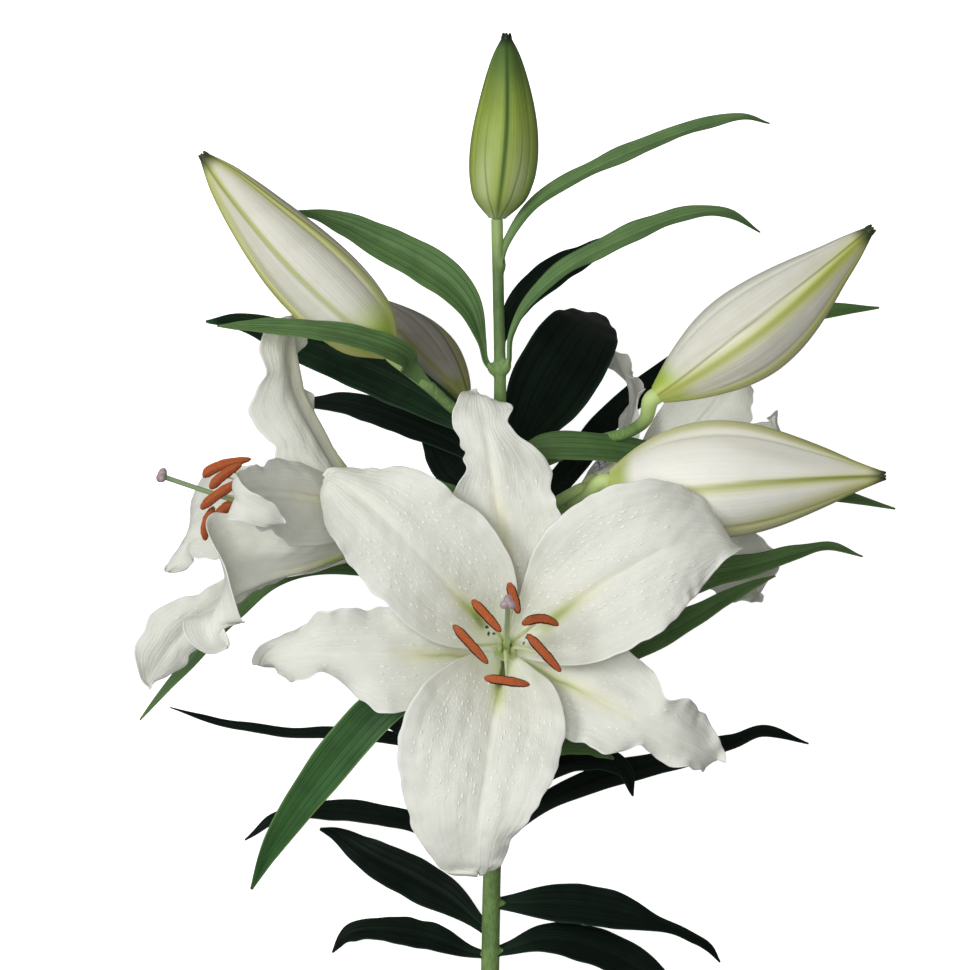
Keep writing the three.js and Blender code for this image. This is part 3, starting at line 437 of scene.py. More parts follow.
@dataclass
class Shader:
    """One Principled material under construction, with the few steps that every finish uses."""

    name: str

    def __post_init__(self) -> None:
        """Starts the material with its surface shader."""
        self.material = bpy.data.materials.new(self.name)
        self.material.use_nodes = True
        self.tree = self.material.node_tree
        self.tree.nodes.clear()
        self.surface = add_node(self.tree, "ShaderNodeBsdfPrincipled")
        out = add_node(self.tree, "ShaderNodeOutputMaterial", None, {"Surface": self.surface.outputs[0]})
        out.is_active_output = True
        self.height: bpy.types.NodeSocket | None = None

    def value(self, name: str) -> bpy.types.NodeSocket:
        """The named point value of the piece."""
        return add_node(self.tree, "ShaderNodeAttribute", {"attribute_name": name}).outputs["Fac"]

    def maths(self, operation: str, *inputs: Any) -> bpy.types.NodeSocket:
        """The result of a sum on sockets and numbers."""
        given = dict(enumerate(inputs))
        return add_node(self.tree, "ShaderNodeMath", {"operation": operation}, given).outputs[0]

    def mixed(self, share: Any, first: Any, second: Any) -> bpy.types.NodeSocket:
        """Mixes two colours.

        Args:
            share: How much of the second, as a number or a socket.
            first: The first, as a hex string or a socket.
            second: The second.

        Returns:
            The mixture.
        """
        factor, colour_a, colour_b, mixture = 0, 6, 7, 2
        given = {
            factor: share,
            colour_a: linear(first) if isinstance(first, str) else first,
            colour_b: linear(second) if isinstance(second, str) else second,
        }
        return add_node(self.tree, "ShaderNodeMix", {"data_type": "RGBA"}, given).outputs[mixture]

    def layered(self, colour: Any, finish: Any, names: Sequence[str]) -> bpy.types.NodeSocket:
        """Lays a finish's own colours over another, each as strongly as the value of its name says.

        Args:
            colour: The colour below.
            finish: The finish.
            names: Its colours that go over it, in order.

        Returns:
            The colour.
        """
        for name in names:
            colour = self.mixed(self.value(name), colour, getattr(finish, name))
        return colour

    def ranged(self, value: Any, low: float, high: float, start: float = 0.0,
               end: float = 1.0) -> bpy.types.NodeSocket:
        """A value in low to high, brought to start to end."""
        given = {"Value": value, "From Min": low, "From Max": high, "To Min": start, "To Max": end}
        return add_node(self.tree, "ShaderNodeMapRange", None, given).outputs[0]

    def grain(self, size_mm: float, detail: float = 2.0, where: Any = None) -> bpy.types.NodeSocket:
        """Soft noise.

        Args:
            size_mm: The size of its grains.
            detail: How many finer layers it has.
            where: Coordinates to read it at, with size_mm in their units, or the piece's own place.

        Returns:
            The noise, about 0.5.
        """
        if where is None:
            place = add_node(self.tree, "ShaderNodeTexCoord").outputs["Object"]
            scale = per_metre(size_mm)
        else:
            place = where
            scale = 1.0 / size_mm
        given = {"Vector": place, "Scale": scale, "Detail": detail, "Roughness": 0.55}
        return add_node(self.tree, "ShaderNodeTexNoise", None, given).outputs["Fac"]

    def lengthwise(self, lines: float, stretch: float) -> bpy.types.NodeSocket:
        """Coordinates in which noise draws fine lines along a blade.

        Args:
            lines: How many lines lie side by side on each half of the blade.
            stretch: How often a line changes along the blade.

        Returns:
            The coordinates.
        """
        across = self.maths("MULTIPLY", self.value("across"), lines)
        length = self.maths("MULTIPLY", self.value("along"), stretch)
        return add_node(self.tree, "ShaderNodeCombineXYZ", None, {"X": across, "Y": length}).outputs[0]

    def parallel_veins(self, count: float, width: float) -> bpy.types.NodeSocket:
        """Evenly spaced lines along a blade.

        Args:
            count: How many lines lie on each half of the blade, beside the one in the middle.
            width: Half of a line's width, as a share of the space between two.

        Returns:
            1 on a line and 0 between.
        """
        sway = self.maths("MULTIPLY", self.grain(30.0, 1.0), 0.1)
        reach = self.maths("ABSOLUTE", self.maths("ADD", self.value("across"), sway))
        wave = self.maths("PINGPONG", self.maths("MULTIPLY", reach, count), 0.5)
        return self.ranged(wave, 0.0, width, 1.0, 0.0)

    def bump(self, height: bpy.types.NodeSocket, depth_mm: float, strength: float = 1.0) -> None:
        """Lays relief over what is there.

        Args:
            height: The relief, from 0 to 1.
            depth_mm: Its depth.
            strength: How much of it shows.
        """
        given = {"Strength": strength, "Distance": depth_mm * MILLIMETRE, "Height": height}
        if self.height is not None:
            given["Normal"] = self.height
        self.height = add_node(self.tree, "ShaderNodeBump", None, given).outputs[0]

    def finished(self, colour: Any, roughness: Any, **settings: Any) -> bpy.types.Material:
        """Sets the surface and returns the material.

        Args:
            colour: The base colour, as a hex string or a socket.
            roughness: A number or a socket.
            **settings: More of the surface's sockets, with underscores for spaces.

        Returns:
            The material.
        """
        given = {"Base Color": linear(colour) if isinstance(colour, str) else colour, "Roughness": roughness}
        given.update({key.replace("_", " "): value for key, value in settings.items()})
        if self.height is not None:
            given["Normal"] = self.height
        feed(self.tree, self.surface, given)
        return self.material


@dataclass(frozen=True)
class TepalFinish:
    """Living lily tepal: thick, water-filled, matt white tissue that light sinks into.

    The eye gets soft shading, fine veins along the blade, a cream midrib and a green nectar furrow. Light
    and shade are painted on: a highlight along the thin rim, shadows in the gaps at the throat and a faint
    glow at the foot, an emission that brightens the shaded throat.
    """

    name: str = "lily_tepal"
    white: str = "#F0F1E6"
    shade: str = "#DADDD0"
    cream: str = "#EBE8C4"
    green: str = "#AFC05C"
    furrow: str = "#4E6228"
    # Painted highlight: a paler rim along the margins stands for light catching the thin edges.
    rim: str = "#FCFCF8"
    # Painted shadow: near-black spots for the shade in the gaps between the filaments at the throat.
    painted_gap_shadow: str = "#20240F"
    vein_count: float = 15.0
    # Painted light: how strongly the foot of each tepal glows, to brighten the shaded throat.
    painted_foot_light: float = 0.14

    def material(self) -> bpy.types.Material:
        """The material, which reads the blade's cream, green, furrow, painted highlight, painted shadow and
        painted light values.
        """
        shader = Shader(self.name)
        veins = shader.grain(1.0, 3.0, shader.lengthwise(self.vein_count, 1.6))
        fine = shader.grain(1.0, 2.0, shader.lengthwise(self.vein_count * 3, 5.0))
        cloud = shader.grain(13.0, 3.0)
        colour = shader.mixed(shader.ranged(veins, 0.35, 0.75, 0.0, 0.3), self.white, self.shade)
        colour = shader.mixed(shader.ranged(cloud, 0.45, 0.75, 0.0, 0.35), colour, self.shade)
        colour = shader.layered(colour, self, ("cream", "green", "furrow", "rim", "painted_gap_shadow"))
        shader.bump(veins, 0.65, 0.55)
        shader.bump(fine, 0.09, 0.6)
        shader.bump(shader.grain(3.2, 3.0), 0.35, 0.5)
        shader.bump(shader.grain(0.8, 3.0), 0.12, 0.6)
        rough = shader.ranged(fine, 0.3, 0.7, 0.5, 0.62)
        return shader.finished(
            colour, rough, Subsurface_Weight=0.2, Subsurface_Radius=(1.0, 0.97, 0.85),
            Subsurface_Scale=0.0016, Specular_IOR_Level=0.3, Sheen_Weight=0.06, Sheen_Roughness=0.5,
            # Painted light: the foot glows by emission, though nothing there is a lamp.
            Emission_Color=(0.93, 0.96, 0.86, 1.0),
            Emission_Strength=shader.maths("MULTIPLY", shader.value("foot"), self.painted_foot_light),
        )


@dataclass(frozen=True)
class PapillaFinish:
    """Papilla of a lily tepal: a small wet-looking wart, whiter than the tissue round it."""

    name: str = "lily_papilla"
    white: str = "#FFFFFA"
    shade: str = "#F4F4EA"

    def material(self) -> bpy.types.Material:
        """The material."""
        shader = Shader(self.name)
        colour = shader.mixed(shader.ranged(shader.grain(3.0), 0.4, 0.7), self.white, self.shade)
        return shader.finished(colour, 0.5, Specular_IOR_Level=0.45)


@dataclass(frozen=True)
class BudFinish:
    """Closed lily bud: smooth, faintly waxy skin, green in the ridges and along the seams.

    The eye gets a satin sheen, long fine veins and a soft change from the pale flanks to the ridges.
    Shade is painted on, as broad bands and thin dark lines in the creases, beside the ridges and along
    the bud's edges.
    """

    name: str
    flank: str
    shade: str
    line: str
    band: str
    # Painted shade, broad and thin: creases, folds and the bud's edges darkened where shade falls.
    grey: str
    dark: str
    base: str
    tip: str

    def material(self) -> bpy.types.Material:
        """The material, which reads the bud's line, band, base and tip values and its broad and thin painted
        shade.
        """
        shader = Shader(self.name)
        veins = shader.grain(1.0, 3.0, shader.lengthwise(34.0, 1.2))
        fine = shader.grain(1.0, 2.0, shader.lengthwise(110.0, 4.0))
        cloud = shader.grain(11.0, 3.0)
        colour = shader.mixed(shader.ranged(veins, 0.35, 0.7, 0.0, 0.5), self.flank, self.shade)
        colour = shader.mixed(shader.ranged(cloud, 0.45, 0.75, 0.0, 0.5), colour, self.shade)
        colour = shader.layered(colour, self, ("grey", "base", "band", "line", "dark", "tip"))
        shader.bump(veins, 0.35, 0.5)
        shader.bump(fine, 0.12, 0.5)
        return shader.finished(
            colour, shader.ranged(veins, 0.3, 0.7, 0.42, 0.52), Subsurface_Weight=0.1,
            Subsurface_Radius=(1.0, 1.0, 0.6), Subsurface_Scale=0.0016, Specular_IOR_Level=0.35,
        )


@dataclass(frozen=True)
class LeafFinish:
    """Lily leaf: leathery, satin, with parallel veins from the base to the tip and a paler underside."""

    name: str
    green: str
    dark: str
    light: str
    under: str
    margin: str
    tip: str
    specular: float = 0.3

    def material(self) -> bpy.types.Material:
        """The material, which reads the blade's petiole, upper face, margin and tip values."""
        shader = Shader(self.name)
        fine = shader.grain(1.0, 2.0, shader.lengthwise(16.0, 1.5))
        hair = shader.grain(1.0, 2.0, shader.lengthwise(45.0, 3.0))
        cloud = shader.grain(12.0)
        lines = shader.parallel_veins(3.0, 0.11)
        colour = shader.mixed(shader.ranged(fine, 0.35, 0.7, 0.0, 0.55), self.green, self.light)
        colour = shader.mixed(shader.ranged(cloud, 0.4, 0.7, 0.0, 0.45), colour, self.dark)
        colour = shader.mixed(shader.maths("MULTIPLY", lines, 0.75), colour, self.dark)
        colour = shader.mixed(shader.value("petiole"), colour, self.light)
        pale = shader.ranged(shader.value("upper_face"), 0.4, 0.1, 0.0, 0.85)
        colour = shader.mixed(pale, colour, self.under)
        colour = shader.layered(colour, self, ("margin", "tip"))
        shader.bump(shader.maths("MULTIPLY", lines, -1.0), 0.35, 0.5)
        shader.bump(fine, 0.2, 0.5)
        shader.bump(hair, 0.08, 0.5)
        return shader.finished(
            colour, shader.ranged(fine, 0.3, 0.7, 0.46, 0.58), Specular_IOR_Level=self.specular,
        )


@dataclass(frozen=True)
class StemFinish:
    """Lily stem: firm green skin with fine lengthwise streaks, a faint bloom of wax, a painted glow and
    painted shade.
    """

    name: str = "lily_stem"
    green: str = "#6C8C4E"
    light: str = "#84A262"
    dark: str = "#4F6E3A"
    # Paler young green below each bud and bloom, also the colour of its painted glow.
    fresh_tint_and_painted_light: str = "#BFD48A"
    # Painted shade for part of the main stem.
    shaded: str = "#35502B"
    # Painted light: how strongly the paler stem glows.
    painted_glow_strength: float = 0.08

    def material(self) -> bpy.types.Material:
        """The material, which reads where the stem is paler with a painted glow, and where it has painted
        shade.
        """
        shader = Shader(self.name)
        place = add_node(shader.tree, "ShaderNodeTexCoord").outputs["Object"]
        given = {"Vector": place, "Scale": (1100.0, 45.0, 1100.0)}
        stretch = add_node(shader.tree, "ShaderNodeMapping", None, given)
        streaks = shader.grain(1.0, 2.0, stretch.outputs[0])
        colour = shader.mixed(shader.ranged(streaks, 0.35, 0.65), self.green, self.light)
        colour = shader.mixed(shader.ranged(shader.grain(8.0), 0.45, 0.75, 0.0, 0.6), colour, self.dark)
        colour = shader.layered(colour, self, ("shaded", "fresh_tint_and_painted_light"))
        shader.bump(streaks, 0.14, 0.5)
        return shader.finished(
            # Painted light: the paler stem below each bud and bloom also glows by emission.
            colour, 0.48, Specular_IOR_Level=0.35, Emission_Color=linear(self.fresh_tint_and_painted_light),
            Emission_Strength=shader.maths("MULTIPLY", shader.value("fresh_tint_and_painted_light"), self.painted_glow_strength),
        )


@dataclass(frozen=True)
class AntherFinish:
    """Ripe anther: dry rust-orange pollen over a dark maroon case that shows along both edges."""

    name: str = "lily_anther"
    pollen: str = "#B25A33"
    dusty: str = "#C87044"
    case: str = "#3A1420"

    def material(self) -> bpy.types.Material:
        """The material, which reads the anther's case value."""
        shader = Shader(self.name)
        grains = shader.grain(0.5, 3.0)
        colour = shader.mixed(shader.ranged(grains, 0.4, 0.65), self.pollen, self.dusty)
        colour = shader.layered(colour, self, ("case",))
        shader.bump(grains, 0.25, 0.8)
        return shader.finished(colour, 0.85, Specular_IOR_Level=0.12)


@dataclass(frozen=True)
class PollenFinish:
    """Pollen: dry, oily-sticky grains of rust orange, with no gloss."""

    name: str = "lily_pollen"
    rust: str = "#B75F38"
    light: str = "#CF7C4C"

    def material(self) -> bpy.types.Material:
        """The material."""
        shader = Shader(self.name)
        colour = shader.mixed(shader.ranged(shader.grain(0.6), 0.4, 0.65), self.rust, self.light)
        return shader.finished(colour, 0.9, Specular_IOR_Level=0.1)


@dataclass(frozen=True)
class FlowerPartFinish:
    """Moist, smooth inner flower part: filament, style or stigma, with a faint change along it."""

    name: str
    root: str
    end: str
    roughness: float

    def material(self) -> bpy.types.Material:
        """The material, which reads the piece's along value."""
        shader = Shader(self.name)
        grains = shader.grain(0.9, 3.0)
        colour = shader.mixed(shader.ranged(shader.value("along"), 0.05, 0.95), self.root, self.end)
        colour = shader.mixed(shader.ranged(grains, 0.5, 0.8, 0.0, 0.3), colour, self.root)
        shader.bump(grains, 0.06, 0.5)
        return shader.finished(
            colour, self.roughness, Subsurface_Weight=0.1, Subsurface_Scale=0.001, Specular_IOR_Level=0.4,
        )


class LeafTone(Enum):
    """The leaves' greens: the nearly black and the dusky ones are painted shade; the young ones are at the
    top.
    """

    # Painted shade: the near-black greens below stand for the shade that those leaves lie in; the dusky one
    # is half in shade.
    DARK = LeafFinish("leaf_shaded", "#0F1A13", "#070C09", "#182A1E", "#1B2A20", "#223628", "#1A2E1E", 0.1)
    DUSK = LeafFinish("leaf_half_shaded", "#162B1A", "#0A130D", "#264529", "#5C7358", "#2C4630", "#3C6038", 0.15)
    TRAILING = LeafFinish("leaf_shaded_with_green_tip", "#0F1A13", "#070C09", "#182A1E", "#1B2A20", "#223628",
                          "#5C8046", 0.1)
    MID = LeafFinish("leaf_green", "#577A44", "#3C5A32", "#6F9058", "#6F8F5C", "#5F7F48", "#6F8048")
    DEEP = LeafFinish("leaf_deep_green", "#335C2D", "#22421F", "#4A7A3C", "#56784A", "#6B8C52", "#4E6C36")
    YOUNG = LeafFinish("leaf_young", "#688A52", "#4C6E3E", "#7F9E66", "#7F9C68", "#46663A", "#3A5A34")

    @property
    def slot(self) -> str:
        """The material slot that this tone takes its finish from."""
        slots = {"DARK": "leaf_dark", "DUSK": "leaf_dark", "TRAILING": "leaf_dark", "YOUNG": "leaf_young"}
        return slots.get(self.name, "leaf_mid")


class BudTone(Enum):
    """The buds' colours: nearly open ones are cream, the youngest is green; two creams are painted lit and
    shaded copies.
    """

    WHITE = BudFinish("bud_cream", "#F2F1E4", "#DEDDCC", "#B2BA58", "#E0E48C", "#C4C2B0", "#8A9050",
                      "#B4CC58", "#3E4A2C")
    # Painted light: a lighter copy of the cream, for the bud that the lamps leave darker.
    CREAM_PAINTED_LIT = BudFinish("bud_cream_painted_lit", "#FCFBF2", "#F0EFE2", "#A8B054", "#DDDE98", "#DEDCCB", "#8A9050",
                       "#B4C568", "#3E4A2C")
    # Painted shade: a grey copy of the cream, for the bud that lies in shade behind the others.
    CREAM_PAINTED_SHADE = BudFinish("bud_cream_shaded", "#A5A196", "#8A867A", "#8F8C50", "#A2A45E", "#67635A", "#4C4A34",
                     "#7E8A4C", "#5E6240")
    GREEN = BudFinish("bud_green", "#A0B54C", "#89A23E", "#3F5F26", "#C0CE92", "#4F6E30", "#2A401E",
                      "#B4C08C", "#1E2E18")

    @property
    def slot(self) -> str:
        """The material slot that this tone takes its finish from."""
        return "bud_green" if self is BudTone.GREEN else "bud_white"


class Palette:
    """Makes each material once and hands it out by its finish."""

    def __init__(self) -> None:
        """Starts empty."""
        self.made: dict[str, bpy.types.Material] = {}

    def of(self, finish: Any) -> bpy.types.Material:
        """The material of a finish."""
        if finish.name not in self.made:
            self.made[finish.name] = finish.material()
        return self.made[finish.name]


PALETTE = Palette()


def dress(piece: bpy.types.Object, finish: Any, nodes: Iterable[str] = ()) -> None:
    """Gives a finished piece its material and its place in the model.

    Args:
        piece: The piece, in place.
        finish: Its finish.
        nodes: The nodes that it stands for.
    """
    piece.data.materials.clear()
    piece.data.materials.append(PALETTE.of(finish))
    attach(piece, "root")
    if nodes:
        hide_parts(*nodes)
    log.info("%s: %d faces", piece.name, len(piece.data.polygons))


def settled(piece: bpy.types.Object) -> bpy.types.Object:
    """Turns a piece and its modifiers into a plain mesh.

    Args:
        piece: The piece.

    Returns:
        The same object, with the finished mesh.
    """
    graph = bpy.context.evaluated_depsgraph_get()
    mesh = bpy.data.meshes.new_from_object(piece.evaluated_get(graph))
    old = piece.data
    piece.modifiers.clear()
    piece.data = mesh
    bpy.data.meshes.remove(old)
    return piece


@dataclass(frozen=True)
class Scatter:
    """Small grains strewn over a skin by geometry nodes, as thickly as its "dense" value says.

    spacing is the least distance between two grains and size is a grain's breadth, in mm. stretch and
    flatness are its length and its height as shares of size. smallest and largest bound its growth.
    """

    name: str
    finish: Any
    spacing: float
    size: float
    stretch: float
    flatness: float
    seed: int
    density: float = 2.0e6
    smallest: float = 0.55
    largest: float = 1.15

    def tree(self) -> bpy.types.NodeTree:
        """Makes the node tree.

        Returns:
            The tree, with the grains' sizes as named inputs.
        """
        tree = bpy.data.node_groups.new(self.name, "GeometryNodeTree")
        sockets = {"Geometry": "NodeSocketGeometry", "Spacing": "NodeSocketFloat",
                   "Density": "NodeSocketFloat", "Grain": "NodeSocketVector", "Seed": "NodeSocketInt"}
        for label, kind in sockets.items():
            tree.interface.new_socket(label, in_out="INPUT", socket_type=kind)
        tree.interface.new_socket("Geometry", in_out="OUTPUT", socket_type="NodeSocketGeometry")
        given = add_node(tree, "NodeGroupInput").outputs
        dense = add_node(tree, "GeometryNodeInputNamedAttribute", {"data_type": "FLOAT"}, {"Name": "dense"})
        heading = add_node(tree, "GeometryNodeInputNamedAttribute", {"data_type": "FLOAT_VECTOR"},
                           {"Name": "heading"})
        spots = add_node(tree, "GeometryNodeDistributePointsOnFaces", {"distribute_method": "POISSON"}, {
            "Mesh": given["Geometry"], "Distance Min": given["Spacing"], "Density Max": given["Density"],
            "Density Factor": dense.outputs["Attribute"], "Seed": given["Seed"],
        })
        turned = add_node(tree, "FunctionNodeAlignRotationToVector", {"axis": "X", "pivot_axis": "Z"}, {
            "Rotation": spots.outputs["Rotation"], "Vector": heading.outputs["Attribute"],
        })
        grain = add_node(tree, "GeometryNodeMeshUVSphere", None, {"Segments": 8, "Rings": 5, "Radius": 1.0})
        shaped = add_node(tree, "GeometryNodeTransform", None, {
            "Geometry": grain.outputs["Mesh"], "Scale": given["Grain"],
        })
        least, most = 2, 3
        size = add_node(tree, "FunctionNodeRandomValue", {"data_type": "FLOAT"}, {
            least: self.smallest, most: self.largest, "Seed": given["Seed"],
        })
        grown = add_node(tree, "GeometryNodeInstanceOnPoints", None, {
            "Points": spots.outputs["Points"], "Instance": shaped.outputs["Geometry"],
            "Rotation": turned.outputs["Rotation"], "Scale": size.outputs[1],
        })
        real = add_node(tree, "GeometryNodeRealizeInstances", None, {"Geometry": grown.outputs["Instances"]})
        round_off = add_node(tree, "GeometryNodeSetShadeSmooth", None, {"Geometry": real.outputs["Geometry"]})
        coloured = add_node(tree, "GeometryNodeSetMaterial", None, {
            "Geometry": round_off.outputs["Geometry"], "Material": PALETTE.of(self.finish),
        })
        add_node(tree, "NodeGroupOutput", None, {"Geometry": coloured.outputs["Geometry"]})
        return tree

    def over(self, host: Skin, name: str) -> bpy.types.Object:
        """Strews the grains over a skin.

        Args:
            host: The skin, with its "dense" and "heading" values.
            name: The new piece's name.

        Returns:
            The grains alone, as a plain mesh.
        """
        piece = host.to_object(name)
        modifier = piece.modifiers.new(self.name, "NODES")
        tree = self.tree()
        modifier.node_group = tree
        grain = [self.size * share * MILLIMETRE for share in (self.stretch, 1.0, self.flatness)]
        sizes = {"Spacing": self.spacing * MILLIMETRE, "Density": self.density, "Grain": grain,
                 "Seed": self.seed}
        for socket in tree.interface.items_tree:
            if socket.in_out == "INPUT" and socket.name in sizes:
                modifier[socket.identifier] = sizes[socket.name]
        return settled(piece)


# ------------------------------------------------------------------ blooms

@dataclass(frozen=True)
class BloomFrame:
    """A bloom's own frame: its base, its axis, and the right and up directions seen from its mouth."""

    base: np.ndarray
    axis: np.ndarray

    @property
    def right(self) -> np.ndarray:
        """The direction of turn 0."""
        return unit(np.cross([0, 1, 0], self.axis))

    def outward(self, turn: Any) -> np.ndarray:
        """The direction away from the axis at a turn in degrees."""
        angle = np.radians(turn)
        up = np.cross(self.axis, self.right)
        return self.right * np.cos(angle)[..., None] + up * np.sin(angle)[..., None]

    def place(self, spots: Any) -> np.ndarray:
        """Turns rows of distance from the axis, height and turn into drawing places."""
        radius, height, turn = np.asarray(spots, float).T
        return self.base + self.axis * height[..., None] + self.outward(turn) * radius[..., None]


@dataclass(frozen=True)
class Tepal:
    """One tepal: a midrib in the bloom's frame, half widths, a bend, a twist and a ruffle.

    The midrib is a list of distance from the axis, height along it, and turn in degrees. left and right
    are half widths at equal steps from the base to the tip, on the side of the greater and smaller turn,
    and width stands for both on a plain tepal. bend (1/mm) cups it and twist (degrees) turns it. folds
    are the height and pace in mm of its lengthwise folds, pucker is the height of its dimples, blunt
    squares the tip and fray (mm) tears it. green and furrow say how strong the two greens of the midrib
    are, and green_start, green_end and cream_end where they lie. The painted shadows in the gaps at the
    throat are each a share of the length, an offset from the midrib and a size in mm. The thickness, the
    keel below the midrib, and the groove and shoulders above it are in mm too.
    """

    name: str
    inner: bool
    ruffle: float
    waves: float
    phase: float
    midrib: Points
    left: Values = ()
    right: Values = ()
    width: float = 0.0
    bend: Values = TEPAL_BEND
    twist: Values = (0, 0)
    folds: Points = ((0.75, 6.0), (0.38, 3.0), (0.14, 1.3))
    pucker: float = 0.13
    blunt: float = 2.2
    green: float = 0.85
    furrow: float = 0.0
    green_start: float = 0.03
    green_end: float = 0.38
    cream_end: float = 0.62
    papillae: float = 1.0
    fray: float = 0.6
    painted_gap_shadows: Points = ()
    thickness: float = 1.0
    keel: float = 0.75
    groove: float = 0.65
    groove_width: float = 1.7
    shoulder: float = 0.5
    shoulder_reach: float = 5.5
    tip_share: float = 0.1
    rows: int = 120
    tip_rows: int = 16
    columns: int = 57

    def shares(self) -> np.ndarray:
        """Places the rows.

        Returns:
            The share of the length of each, closer together towards the round tip.
        """
        start = 1 - self.tip_share
        body = np.linspace(0, start, self.rows - self.tip_rows, endpoint=False)
        tip = start + self.tip_share * np.sin(np.linspace(0, 0.5 * math.pi, self.tip_rows))
        return np.concatenate([body, tip])

    def half_widths(self, s: np.ndarray, u: np.ndarray) -> np.ndarray:
        """Works out the half widths, with a round tip and a slightly uneven margin.

        Args:
            s: Share of the length of each row.
            u: Share of the half width of each column.

        Returns:
            The half width for each row and column.
        """
        outline = INNER_OUTLINE if self.inner else OUTER_OUTLINE
        plain = [share * self.width / 2 for share in outline]
        left = along(self.left or plain, s)
        right = along(self.right or plain, s)
        half = np.where(u[None, :] < 0, right[:, None], left[:, None])
        tip = np.clip((s - (1 - self.tip_share)) / self.tip_share, 0, 1)
        rounding = np.maximum((1 - tip**self.blunt) ** (1 / self.blunt), 0.03)
        seed = sum(map(ord, self.name))
        right_edge, left_edge = (ripple(s, seed + k, 3, 9)[:, None] for k in (0, 1))
        uneven = np.where(u[None, :] < 0, right_edge, left_edge)
        ragged = (0.8 if self.inner else 1.3) * uneven * (smooth(0.3, 0.6, s) * rounding)[:, None]
        return np.maximum(half * rounding[:, None] + ragged, 0.1)

    def relief(self, s: np.ndarray, u: np.ndarray, reach: np.ndarray, run: np.ndarray) -> np.ndarray:
        """Works out the ruffle, the furrow along the midrib, the folds and the dimples.

        Args:
            s: Share of the length of each row.
            u: Share of the half width of each column.
            reach: Distance from the midrib at each place.
            run: Distance from the base at each place.

        Returns:
            How far the blade's middle rises at each place.
        """
        share = s[:, None]
        edge = np.abs(u)[None, :]
        side_shift = np.where(u < 0, 0.37, 0)[None, :]
        wave = np.sin(2 * math.pi * (self.waves * share + self.phase + side_shift))
        ruffle = self.ruffle * smooth(0.3, 0.75, share) * edge**2 * wave
        seed = sum(map(ord, self.name)) + 7
        crimp = np.where(u[None, :] < 0, ripple(share, seed, 5.5), ripple(share, seed + 3, 5.5))
        frill = 0.36 * self.ruffle * smooth(0.35, 0.75, share) * edge**5 * crimp
        furrow_run = smooth(0.02, 0.12, share) * (1 - smooth(0.78, 0.97, share))
        furrow = -self.groove * bell(reach, self.groove_width) * furrow_run
        shoulder = self.shoulder * bell(np.abs(reach) - self.shoulder_reach, 3.4) * furrow_run
        folds = np.zeros_like(reach)
        for k, (height, pace) in enumerate(self.folds):
            sway = 1.6 * ripple(share, seed + 11 + k, 0.8, 3)
            swell = 0.65 + 0.35 * ripple(share, seed + 31 + k, 1.1, 3)
            folds = folds + height * swell * np.sin(reach / pace + 1.7 * k + 6.28 * self.phase + sway)
        folds = folds + self.pucker * dimples(reach, run, seed + 51)
        return ruffle + frill + furrow + shoulder + folds * smooth(0.14, 0.4, share)

    def skin(self, frame: BloomFrame) -> Skin:
        """Builds the blade in its bloom.

        Args:
            frame: The bloom's frame.

        Returns:
            The skin, with its colour values.
        """
        s = self.shares()
        u = np.linspace(-1, 1, self.columns)
        u = np.sign(u) * np.abs(u) ** 1.18
        lifted = [(radius, height + GAP, turn) for radius, height, turn in self.midrib]
        place, heading, length = stations(frame.place(lifted), s)
        from_base = place - frame.base
        frayed = self.fray * smooth(0.86, 1, s)[:, None] * ripple(1.4 * u, 71 + len(self.name), 1.0, 4)
        outward = unit(from_base - (from_base @ frame.axis)[:, None] * frame.axis)
        around = np.cross(frame.axis, outward)
        side = unit(around - (around * heading).sum(1, keepdims=True) * heading)
        face = np.cross(heading, side)
        twist = np.radians(along(self.twist, s))[:, None]
        across = side * np.cos(twist) + face * np.sin(twist)
        normal = face * np.cos(twist) - side * np.sin(twist)
        bend = along(self.bend, s)[:, None]
        bend = np.where(np.abs(bend) < 1e-5, 1e-5, bend)
        reach = u[None, :] * self.half_widths(s, u)
        sideways = np.sin(bend * reach) / bend
        rise = (1 - np.cos(bend * reach)) / bend
        if self.inner:
            rise = rise - 0.07 * reach * (smooth(0.04, 0.16, s) * (1 - smooth(0.45, 0.7, s)))[:, None]
        run = (s * length)[:, None] + 0 * reach
        rise = rise + self.relief(s, u, reach, run)
        middle = place[:, None] + across[:, None] * sideways[..., None] + normal[:, None] * rise[..., None]
        middle = middle + heading[:, None] * frayed[..., None]
        thick = 0.5 * (self.thickness - 0.62 * np.abs(u)[None, :] ** 0.8 + 0 * reach)
        keel_run = (smooth(0.0, 0.1, s) * (1 - smooth(0.75, 0.98, s)))[:, None]
        keel = self.keel * bell(reach, self.groove_width) * keel_run
        values = self.colour_values(s, u, reach, run)
        values["heading"] = heading[:, None]
        skin = blade_skin(middle, thick, thick + keel, values)
        skin.values["dense"] *= skin.values["upper_face"] > 0.9
        return skin

